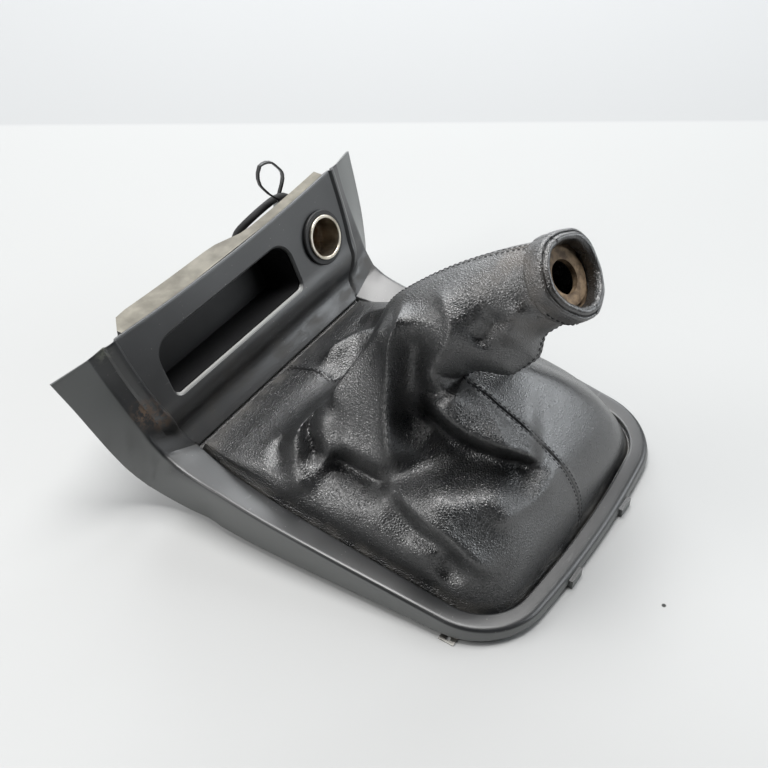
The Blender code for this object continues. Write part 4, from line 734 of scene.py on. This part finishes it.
def gaiter_grid(shares):
    """Outer face of the leather: hem under the rim, body, neck, and the roll over the collar."""
    loop = hem_loop(shares)[0]
    turns = shares * 2 * math.pi
    degrees = shares * 360.0
    hem = []
    for reach, level in HEM_ROWS:
        xy = loop[:, :2] + loop[:, 2:] * reach
        hem.append(np.column_stack([xy, opening_z(xy[:, 1]) + level]))
    angles = sorted(GAITER_LINES)
    control = np.array([GAITER_LINES[angle] for angle in angles], float)
    levels = [hem[-1]]
    levels += [periodic_curve(angles, control[:, k], degrees) for k in range(control.shape[1])]
    levels.append(neck_ring(NECK_ROOT, NECK_ROOT_AXIS, NECK_ROOT_RADIUS, turns))
    root_axis = unit(NECK_ROOT_AXIS)
    top_axis = unit(COLLAR_AXIS)
    root = np.array(NECK_ROOT)
    top = np.array(COLLAR) + COLLAR_FOOT * top_axis
    reach = np.linalg.norm(top - root)
    ends = np.array((root, top))
    slopes = np.array((root_axis, top_axis)) * reach
    neck = []
    for n in range(1, GAITER_NECK_ROWS + 1):
        s = n / GAITER_NECK_ROWS
        centre = read_curve(np.array((0.0, 1.0)), ends, slopes, (s,))[0]
        radius = NECK_ROOT_RADIUS + (COLLAR_RADIUS - NECK_ROOT_RADIUS) * s
        radius += NECK_SLACK * math.sin(math.pi * s)
        neck.append(neck_ring(centre, root_axis * (1 - s) + top_axis * s, radius, turns))
    guides = np.array(levels + [neck[GAITER_NECK_ROWS // 3]])
    knots = np.arange(len(guides)) / (len(levels) - 1)
    rows = np.arange(1, GAITER_BODY_ROWS + 1) / GAITER_BODY_ROWS
    body = read_curve(knots, guides, np.gradient(guides, knots, axis=0), rows)
    grid = np.concatenate([body, np.array(neck)])
    flat = grid.reshape(-1, 3)
    moves = sum(push_fold(flat, *fold) for fold in GAITER_FOLDS)
    grid = smoothed((flat + moves).reshape(grid.shape), SMOOTHING)
    roll = [
        collar_ring(out, up, turns) for out, up in smooth_curve(COLLAR_ROWS, len(COLLAR_ROWS) * ROLL_STEPS)
    ]
    return np.concatenate([np.array(hem), grid, np.array(roll)])


def collar_ring(out, up, turns):
    """Ring of the collar, which the leather's thickness makes uneven."""
    axis = unit(COLLAR_AXIS)
    centre = np.array(COLLAR) + axis * up
    grown = min(max((up - COLLAR_ROWS[0][1]) / COLLAR_GROWTH, 0.0), 1.0)
    wide = sum(size * np.cos(count * turns + start) for size, count, start in COLLAR_WIDER)
    high = sum(size * np.cos(count * turns + start) for size, count, start in COLLAR_HIGHER)
    ring = neck_ring(centre, axis, out, turns)
    return ring + grown * (wide[:, None] * (ring - centre) + high[:, None] * axis)


def grid_normals(grid):
    round_it = np.roll(grid, -1, axis=1) - np.roll(grid, 1, axis=1)
    along_it = np.gradient(grid, axis=0)
    normals = np.cross(round_it, along_it)
    return normals / np.maximum(np.linalg.norm(normals, axis=2), 1e-9)[:, :, None]


def seam_distance(grid, column):
    """Distance of each point from a seam, measured along its own row."""
    steps = np.linalg.norm(np.roll(grid, -1, axis=1) - grid, axis=2)
    turned = np.roll(steps, -column, axis=1)
    ahead = np.concatenate([np.zeros((len(grid), 1)), np.cumsum(turned, axis=1)[:, :-1]], axis=1)
    total = turned.sum(axis=1, keepdims=True)
    away = np.where(ahead < total / 2, ahead, ahead - total)
    return np.roll(away, column, axis=1)


# Seams in millimetres: a swell on both sides of each, a groove on it and dents under the stitches
SEAM_SWELL = (0.40, 1.5, 1.3)
SEAM_GROOVE = (-0.75, 0.0, 0.50)
STITCH_DENT = (-0.18, 1.6, 0.35)
COLLAR_LIFT_SHARE = 0.35
NECK_SEAM_SHIFT = 3.0
NECK_SEAM_START = 0.8
NECK_SEAM_ROWS = 40.0
STITCH_PITCH = 2.9
STITCH_LENGTH = 2.1
STITCH_RADIUS = 0.34
STITCH_AWAY = 1.6
STITCH_SIDES = 6
STITCH_SECTIONS = (
    (0.0, 0.35, -0.5), (0.15, 0.85, -0.1), (0.5, 1.0, 0.15), (0.85, 0.85, -0.1), (1.0, 0.35, -0.5),
)
COLLAR_STITCHES = (20.35, -1.4)
COLLAR_STITCH_TURNS = np.radians(np.linspace(-75.0, 60.0, 60))


def stitch_run(points, faces, path, normals):
    """Short rounded stitches along a line of points on the leather, added to those before."""
    lengths = np.concatenate([[0.0], np.cumsum(np.linalg.norm(np.diff(path, axis=0), axis=1))])
    at = STITCH_PITCH / 2
    while at + STITCH_LENGTH / 2 < lengths[-1]:
        ends = []
        for where in (at - STITCH_LENGTH / 2, at + STITCH_LENGTH / 2):
            ends.append([np.interp(where, lengths, path[:, k]) for k in range(3)])
        out = unit([np.interp(at, lengths, normals[:, k]) for k in range(3)])
        start, stop = np.array(ends)
        across = unit(np.cross(unit(stop - start), out))
        stitch = []
        for share, thick, sink in STITCH_SECTIONS:
            centre = start + (stop - start) * share + out * STITCH_RADIUS * sink
            for k in range(STITCH_SIDES):
                turn = 2 * math.pi * k / STITCH_SIDES
                side = across * math.cos(turn) + out * math.sin(turn)
                stitch.append(centre + STITCH_RADIUS * thick * side)
        join(points, faces, stitch, closed_tube_faces(len(STITCH_SECTIONS), STITCH_SIDES))
        at += STITCH_PITCH


def seam_lift(way):
    """How far the leather rises beside a seam, at distances from it."""
    away = np.abs(way)
    return sum(
        height * np.exp(-(((away - middle) / width) ** 2))
        for height, middle, width in (SEAM_SWELL, SEAM_GROOVE, STITCH_DENT)
    )


def beside_seam(values, way, distance):
    """Values of each row at a distance from the seam."""
    made = []
    for row, along in enumerate(way):
        order = np.argsort(along)
        made.append([np.interp(distance, along[order], values[row, order, k]) for k in range(3)])
    return np.array(made)


def make_gaiter():
    shares = seam_shares()
    grid = gaiter_grid(shares)
    foot = len(HEM_ROWS)
    last = len(grid) - len(COLLAR_ROWS) * ROLL_STEPS
    ways = [seam_distance(grid, int(np.argmin(np.abs(shares - where)))) for where in (0.0, 0.5)]
    neck_share = eased((np.arange(len(grid)) - foot - GAITER_BODY_ROWS * NECK_SEAM_START) / NECK_SEAM_ROWS)
    ways[0] = ways[0] + NECK_SEAM_SHIFT * neck_share[:, None]
    lift = seam_lift(ways[0]) + seam_lift(ways[1])
    lift[:foot] = 0.0
    lift[last:] *= COLLAR_LIFT_SHARE
    grid = grid + grid_normals(grid) * lift[:, :, None]
    faces = tube_faces(len(grid), grid.shape[1])
    leather = add_piece("leather_gaiter", grid.reshape(-1, 3), faces, grained_leather())
    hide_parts("gaiter")
    body = slice(foot, last)
    normals = grid_normals(grid)
    points = []
    stitches = []
    for way in ways:
        for distance in (-STITCH_AWAY, STITCH_AWAY):
            path = beside_seam(grid[body], way[body], distance)
            stitch_run(points, stitches, path, beside_seam(normals[body], way[body], distance))
    path = collar_ring(*COLLAR_STITCHES, COLLAR_STITCH_TURNS)
    stitch_run(points, stitches, path, path - np.array(COLLAR))
    thread = add_piece("seam_stitches", points, stitches, waxed_thread())


make_gaiter()


# Surround: the solid's sizes in millimetres, its creases rounded
SHELL_WALL = 2.2
RIM_WIDTH_REAR = 8.5
RIM_WIDTH_FRONT = 17.5
RIM_RISE_REAR = -0.6
RIM_RISE_FRONT = 4.6
RIM_FRONT_Y = 160.0
SKIRT_FLARE = 1.3
PANEL_TOP_Y = 219.4
PANEL_TOP_Z = 88.1
PANEL_LEAN = math.radians(22.9)
PANEL_TOP_HALF_WIDTH = 86.4
PANEL_SIDE_BULGE = 3.0
PANEL_TOP_SAG = 2.6
NOSE_Z = 42.5
NOSE_OUT = 1.0
NOSE_HEIGHT = 4.0
HOLLOW_Z = 28.5
HOLLOW_DEPTH = 4.2
HOLLOW_HEIGHT = 6.5
BEND_CREASE = ((17.8, 162.0, 22.3), (19.4, 175.0, 23.6), (21.3, 186.0, 26.2))
BEND_EDGE = ((18.5, 165.0, 0.0), (21.7, 180.0, 0.3), (26.8, 191.0, 4.5))
WING_CREASE = (
    (93.0, 193.5, 30.0), (94.2, 200.0, 37.5), (95.7, 205.8, 47.0),
    (97.2, 211.5, 56.5), (98.8, 218.0, 68.5), (100.5, 224.0, 83.0),
)
WING_EDGE = (
    (101.0, 200.0, 11.0), (104.5, 206.0, 19.5), (109.0, 210.5, 32.5),
    (113.0, 215.5, 47.0), (116.5, 221.5, 62.0), (121.0, 229.5, 79.5),
)
WING_STATIONS = 46
CREASE_ROUND = 2.4
LIP_ROUND = 1.3
ARC_STEPS = 6
RIDGE_RISE = 2.2
RIDGE_START = 16.0
RIDGE_SECTION = ((7.0, 0.6), (4.5, 0.95), (2.6, 1.0), (1.3, 0.75), (0.6, 0.3), (0.0, 0.0))
PANEL_COLUMNS = 60
CUBBY = (-69.0, 36.0, -45.0, -16.4)
CUBBY_TOP_RADIUS = 10.7
CUBBY_BOTTOM_RADIUS = 4.0
CUBBY_FLARE = 1.5
CUBBY_LIP = ((0.0, -14.0), (0.0, -1.7), (0.12, -1.2), (0.5, -0.6), (CUBBY_FLARE, -0.05), (CUBBY_FLARE, 14.0))
SOCKET_X = 63.1
SOCKET_DOWN = 29.3
SOCKET_HOLE = 13.6
CUTTER_REACH = 12.0
SILL_TUCK = ((-0.35, 0.4), (0.15, 1.2), (0.33, 2.4))
BEND_STATIONS = 12
WELD = 0.05
EDGE_ROUND = 0.55
BOSS_RADIUS = 2.9
BOSS_SIDES = 16
BIN_BOSS_INTO_PANEL = 1.0
FRAME_BOSS_INTO_RIM = 1.2
SCREW_HEAD = 2.1

PANEL_PLACE = (
    Matrix.Translation(Vector(placed((0.0, PANEL_TOP_Y, PANEL_TOP_Z))))
    @ Matrix.Rotation(math.pi / 2 - PANEL_LEAN, 4, "X")
)


def panel_y(z):
    flat = PANEL_TOP_Y - (PANEL_TOP_Z - z) * math.tan(PANEL_LEAN)
    nose = NOSE_OUT * math.exp(-(((z - NOSE_Z) / NOSE_HEIGHT) ** 2))
    hollow = HOLLOW_DEPTH * math.exp(-(((z - HOLLOW_Z) / HOLLOW_HEIGHT) ** 2))
    return flat - nose + hollow


def panel_half_width(z):
    share = (z - OPENING_FRONT_Z) / (PANEL_TOP_Z - OPENING_FRONT_Z)
    straight = OPENING_FRONT_HALF_WIDTH + (PANEL_TOP_HALF_WIDTH - OPENING_FRONT_HALF_WIDTH) * share
    return straight + PANEL_SIDE_BULGE * math.sin(math.pi * share)


def rim_half():
    """Right half of the rim: inner edge, outer crease and lower edge, from rear middle to tip."""
    inner = []
    crease = []
    edge = []
    for x, y, out_x, out_y in opening_half():
        if y > RIM_FRONT_Y:
            break
        share = min(max((y - OPENING_REAR_Y) / (RIM_FRONT_Y - OPENING_REAR_Y), 0.0), 1.0)
        width = RIM_WIDTH_REAR + (RIM_WIDTH_FRONT - RIM_WIDTH_REAR) * share
        rise = RIM_RISE_REAR + (RIM_RISE_FRONT - RIM_RISE_REAR) * share
        crease_y = y + out_y * width
        inner.append((x, y, opening_z(y)))
        crease.append((x + out_x * width, crease_y, opening_z(crease_y) + rise))
        wide = width + SKIRT_FLARE
        edge.append((x + out_x * wide, y + out_y * wide, 0.0))
    sill_y = inner[-1][1]
    for k in range(1, BEND_STATIONS):
        y = sill_y + (OPENING_FRONT_Y - sill_y) * k / BEND_STATIONS
        inner.append((opening_side_x(y), y, opening_z(y)))
    for n in range(WING_STATIONS + 1):
        z = OPENING_FRONT_Z + (PANEL_TOP_Z - OPENING_FRONT_Z) * n / WING_STATIONS
        inner.append((panel_half_width(z), panel_y(z), z))
    for run, bends, wing in ((crease, BEND_CREASE, WING_CREASE), (edge, BEND_EDGE, WING_EDGE)):
        bent = [(opening_side_x(y) + out, y, z) for out, y, z in bends]
        path = smooth_curve(run[-2:] + bent + [wing[0]], 5 * BEND_STATIONS)
        start = int(np.argmin(np.linalg.norm(path - np.array(run[-1]), axis=1)))
        places = np.linspace(start, len(path) - 1, BEND_STATIONS + 1)[1:-1]
        fine = [path[int(round(place))] for place in places]
        run.extend(tuple(point) for point in fine)
        run.extend(tuple(point) for point in smooth_curve(wing, WING_STATIONS + 1))
    return inner, crease, edge


def rounded_corner(before, corner, after, radius):
    """Points of an arc that takes the place of a corner."""
    before, corner, after = (np.array(point, float) for point in (before, corner, after))
    reach_in = min(radius, 0.45 * np.linalg.norm(corner - before))
    reach_out = min(radius, 0.45 * np.linalg.norm(after - corner))
    start = corner - unit(corner - before) * reach_in
    stop = corner + unit(after - corner) * reach_out
    points = []
    for k in range(ARC_STEPS + 1):
        f = k / ARC_STEPS
        points.append((1 - f) ** 2 * start + 2 * f * (1 - f) * corner + f**2 * stop)
    return points


def wing_ridge(inner, crease):
    """Raised inner edge of a wing, which steps down to the front panel."""
    inner = np.array(inner)
    toward = unit(np.array(crease) - inner)
    out = np.array((0.0, -math.cos(PANEL_LEAN), math.sin(PANEL_LEAN)))
    rise = RIDGE_RISE * min(max((inner[2] - OPENING_FRONT_Z) / RIDGE_START, 0.0), 1.0)
    path = [inner + toward * away + out * rise * share for away, share in RIDGE_SECTION]
    return list(smooth_curve(path, ARC_STEPS + 2))


def surround_skin():
    """Outer skin of the moulding, open at its edges: rim, skirt, wings and front panel."""
    inner, crease, edge = rim_half()
    half = len(inner)
    wing = WING_STATIONS + 1
    order = [(-1, k) for k in range(half - 1, 0, -1)] + [(1, k) for k in range(half)]
    points = []
    faces = []
    columns = []
    for side, k in order:
        run = [np.array(edge[k])]
        run += rounded_corner(edge[k], crease[k], inner[k], CREASE_ROUND)
        run.append((np.array(crease[k]) + np.array(inner[k])) / 2)
        if k <= half - wing:
            toward = unit(np.array(crease[k][:2]) - np.array(inner[k][:2]))
            under = np.array(inner[k]) + np.append(toward * 0.4, -2 * LIP_ROUND)
            run += rounded_corner(crease[k], inner[k], under, LIP_ROUND)
            run.append(under)
        else:
            run += wing_ridge(inner[k], crease[k])
        column = list(range(len(points), len(points) + len(run)))
        points += [(side * x, y, z) for x, y, z in run]
        columns.append(column)
    for before, after in zip(columns, columns[1:]):
        for a, b in zip(range(len(before) - 1), range(1, len(before))):
            faces.append((before[a], after[a], after[b], before[b]))
    previous = None
    for row in range(wing):
        z = OPENING_FRONT_Z + (PANEL_TOP_Z - OPENING_FRONT_Z) * row / WING_STATIONS
        half_width = panel_half_width(z)
        line = []
        for n in range(PANEL_COLUMNS + 1):
            x = half_width * (2 * n / PANEL_COLUMNS - 1)
            high = max(z - NOSE_Z, 0.0) / (PANEL_TOP_Z - NOSE_Z)
            sag = PANEL_TOP_SAG * high * (1 - (x / half_width) ** 2)
            line.append(len(points))
            points.append((x, panel_y(z - sag), z - sag))
        if previous:
            for n in range(PANEL_COLUMNS):
                faces.append((previous[n], previous[n + 1], line[n + 1], line[n]))
        else:
            sill = line
        previous = line
    previous = sill
    for out, down in SILL_TUCK:
        line = []
        for n in sill:
            x, y, z = points[n]
            line.append(len(points))
            points.append((x, y + out, z - down))
        for n in range(PANEL_COLUMNS):
            faces.append((previous[n + 1], previous[n], line[n], line[n + 1]))
        previous = line
    return points, faces


def rounded_box(left, right, bottom, top, bottom_radius, top_radius, steps=10):
    outline = []
    corners = (
        (right, bottom, -1, 1, bottom_radius, -90), (right, top, -1, -1, top_radius, 0),
        (left, top, 1, -1, top_radius, 90), (left, bottom, 1, 1, bottom_radius, 180),
    )
    for x, y, inward_x, inward_y, radius, start in corners:
        for k in range(steps + 1):
            turn = math.radians(start + 90 * k / steps)
            outline.append((
                x + inward_x * radius + radius * math.cos(turn),
                y + inward_y * radius + radius * math.sin(turn),
            ))
    return outline


def lofted(name, sections, finish):
    """A closed body through outlines (points, level) given on the panel."""
    points = [(x, y, level) for outline, level in sections for x, y in outline]
    faces = closed_tube_faces(len(sections), len(sections[0][0]))
    mesh = bpy.data.meshes.new(name)
    mesh.from_pydata([tuple(PANEL_PLACE @ (Vector(p) * MM)) for p in points], [], faces)
    mesh.materials.append(finish)
    return put(name, mesh)


def circle(x, y, radius, steps=48):
    turns = [2 * math.pi * k / steps for k in range(steps)]
    return [(x + radius * math.cos(turn), y + radius * math.sin(turn)) for turn in turns]


def cubby_cutter(finish):
    left, right, bottom, top = CUBBY
    sections = []
    for flare, level in CUBBY_LIP:
        sections.append((rounded_box(
            left - flare, right + flare, bottom - flare, top + flare,
            CUBBY_BOTTOM_RADIUS + flare, CUBBY_TOP_RADIUS + flare,
        ), level))
    return lofted("cubby_cutter", sections, finish)


# Under the skirt, right side, from low to high corner: rear tab, its hook, side tab and clip post
UNDERSIDE_BLOCKS = (
    ((22.0, -3.4, -3.0), (32.0, -1.2, 2.0)), ((22.3, -2.3, -2.5), (31.7, 5.5, -1.3)),
    ((90.3, 120.0, -3.0), (92.5, 130.0, 5.0)), ((85.2, 27.0, -2.1), (86.2, 35.0, 6.8)),
)


def underside_details():
    """Rear tabs and hooks, side tabs and clip posts: their points and faces."""
    points = []
    faces = []
    for side in (-1, 1):
        for low, high in UNDERSIDE_BLOCKS:
            left, right = sorted((side * low[0], side * high[0]))
            outline = ((left, low[1]), (right, low[1]), (right, high[1]), (left, high[1]))
            block = [(x, y, z) for z in (low[2], high[2]) for x, y in outline]
            join(points, faces, block, closed_tube_faces(2, len(outline)))
    return placed(points), faces


def solid_copy(source, cutters):
    """Mesh of an object after its modifiers, with the cutters gone."""
    for cutter in cutters:
        step = source.modifiers.new(cutter.name, "BOOLEAN")
        step.operation = "DIFFERENCE"
        step.object = cutter
    graph = bpy.context.evaluated_depsgraph_get()
    mesh = bpy.data.meshes.new_from_object(source.evaluated_get(graph))
    source.modifiers.clear()
    source.data = mesh
    for cutter in cutters:
        bpy.data.objects.remove(cutter, do_unlink=True)


def boss_tubes():
    """Bosses behind the panel and under the rim, each up to its own screw."""
    points = []
    faces = []
    slope = (OPENING_FRONT_Z - OPENING_REAR_Z) / (OPENING_FRONT_Y - OPENING_REAR_Y)
    tilt = Matrix.Rotation(math.atan(slope), 3, "X")
    for word, turn, into in (
        ("bin", PANEL_PLACE.to_3x3(), BIN_BOSS_INTO_PANEL), ("frame", tilt, FRAME_BOSS_INTO_RIM),
    ):
        for k in range(1, 5):
            screw = nodes[f"{word}_screw_{k}"]
            corners = [turn.inverted() @ (screw.matrix_world @ vertex.co) for vertex in screw.data.vertices]
            low = [min(corner[n] for corner in corners) / MM for n in range(3)]
            high = [max(corner[n] for corner in corners) / MM for n in range(3)]
            ring = circle((low[0] + high[0]) / 2, (low[1] + high[1]) / 2, BOSS_RADIUS, BOSS_SIDES)
            boss = []
            for level in (low[2] + SCREW_HEAD, high[2] + into):
                boss += [turn @ (Vector((x, y, level)) * MM) for x, y in ring]
            join(points, faces, boss, closed_tube_faces(2, BOSS_SIDES))
    return points, faces


def add_body(work, points, faces):
    corners = [work.verts.new(tuple(point)) for point in points]
    for face in faces:
        work.faces.new([corners[n] for n in face])


def make_surround(finish):
    points, faces = surround_skin()
    made = add_piece("moulded_surround", points, faces, finish)
    work = bmesh.new()
    work.from_mesh(made.data)
    bmesh.ops.remove_doubles(work, verts=work.verts, dist=WELD * MM)
    work.to_mesh(made.data)
    work.free()
    wall = made.modifiers.new("wall", "SOLIDIFY")
    wall.thickness = SHELL_WALL * MM
    wall.offset = -1.0
    wall.use_even_offset = True
    wall.thickness_clamp = 1.0
    soft = made.modifiers.new("soft_edges", "BEVEL")
    soft.width = EDGE_ROUND * MM
    soft.segments = 2
    soft.limit_method = "ANGLE"
    soft.angle_limit = math.radians(60)
    round_hole = circle(SOCKET_X, -SOCKET_DOWN, SOCKET_HOLE)
    hole = lofted("hole_cutter", ((round_hole, -CUTTER_REACH), (round_hole, CUTTER_REACH)), finish)
    solid_copy(made, (cubby_cutter(finish), hole))
    work = bmesh.new()
    work.from_mesh(made.data)
    add_body(work, *underside_details())
    add_body(work, *boss_tubes())
    work.to_mesh(made.data)
    work.free()
    made.data.shade_smooth()
    made.data.set_sharp_from_angle(angle=math.radians(24))
    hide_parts("surround")


# Looks of the pieces that keep their solids
BLACK = rough_black("moulded_black", rgb(0.010, 0.010, 0.011), rgb(0.020, 0.020, 0.021), 0.42)
DULL_BLACK = rough_black("dull_black", rgb(0.008, 0.008, 0.008), rgb(0.016, 0.016, 0.017), 0.60)
NYLON = rough_black("nylon_tie", rgb(0.012, 0.012, 0.013), rgb(0.024, 0.024, 0.025), 0.38)
STEEL = plated_metal("zinc_steel", rgb(0.36, 0.35, 0.33), rgb(0.52, 0.51, 0.48), 0.34)
BRASS = plated_metal("dull_brass", rgb(0.42, 0.33, 0.18), rgb(0.60, 0.50, 0.30), 0.36)
SOCKET_MOUTH = (63.1, 208.0, 61.1)
NICKEL = plated_metal(
    "tarnished_nickel", rgb(0.52, 0.47, 0.38), rgb(0.78, 0.73, 0.63), 0.24, 0.55, (SOCKET_MOUTH, 13.5, 17.0),
)
make_surround(satin_moulding())

FINISHES = {
    "cubby_bin": dusty_carrier(),
    "gaiter_frame": DULL_BLACK,
    "gaiter_ring": tan_ring(),
    "socket_sleeve": BLACK,
    "socket_barrel": NICKEL,
    "socket_insulator": brown_board(),
    "socket_centre_contact": BRASS,
    "socket_side_contact": STEEL,
    "socket_retainer": DULL_BLACK,
    "socket_live_terminal": BRASS,
    "socket_earth_terminal": BRASS,
    "socket_plug": BLACK,
    "lead_connector": BLACK,
    "cable_tie": NYLON,
    "spring_clip_left": STEEL,
    "spring_clip_right": STEEL,
}
for number in range(1, 5):
    FINISHES[f"bin_screw_{number}"] = STEEL
    FINISHES[f"frame_screw_{number}"] = STEEL


def finish_nodes():
    for name, finish in FINISHES.items():
        for slot in nodes[name].material_slots:
            slot.material = finish


finish_nodes()


def area_light(name, place, aim, size, power, tint):
    data = bpy.data.lights.new(name, "AREA")
    data.shape = "RECTANGLE"
    data.size = size[0]
    data.size_y = size[1]
    data.energy = power
    data.color = tint
    light = put(name, data)
    light.location = place
    light.visible_camera = False
    light.rotation_euler = (Vector(aim) - Vector(place)).to_track_quat("-Z", "Y").to_euler()


def light_the_table():
    world = bpy.data.worlds.new("studio")
    world.use_nodes = True
    background = world.node_tree.nodes["Background"]
    background.inputs["Color"].default_value = rgb(0.95, 0.97, 1.0)
    background.inputs["Strength"].default_value = 0.04
    bpy.context.scene.world = world
    area_light("ceiling_panel", (0.28, 0.12, 1.40), (0.0, 0.0, 0.0), (0.85, 0.85), 22.5, (1.0, 0.995, 0.985))
    area_light("white_wall", (0.90, 0.60, 0.58), (0.0, 0.0, 0.10), (1.5, 0.6), 15.0, (0.96, 0.985, 1.0))
    area_light("right_window", (0.80, -1.00, 0.55), (0.0, 0.0, 0.05), (1.2, 0.6), 8.0, (0.93, 0.97, 1.0))
    area_light("left_window", (-0.75, 0.95, 0.75), (0.0, 0.0, 0.05), (0.9, 0.6), 12.5, (1.0, 0.995, 0.985))


light_the_table()


TABLE_HALF = 6.0


def make_table():
    mesh = bpy.data.meshes.new("table")
    corners = [(x * TABLE_HALF, y * TABLE_HALF, 0) for x, y in ((-1, -1), (1, -1), (1, 1), (-1, 1))]
    mesh.from_pydata(corners, [], [(0, 1, 2, 3)])
    mesh.materials.append(pale_table())
    put("table", mesh)


make_table()
bpy.context.scene.view_settings.view_transform = "Standard"
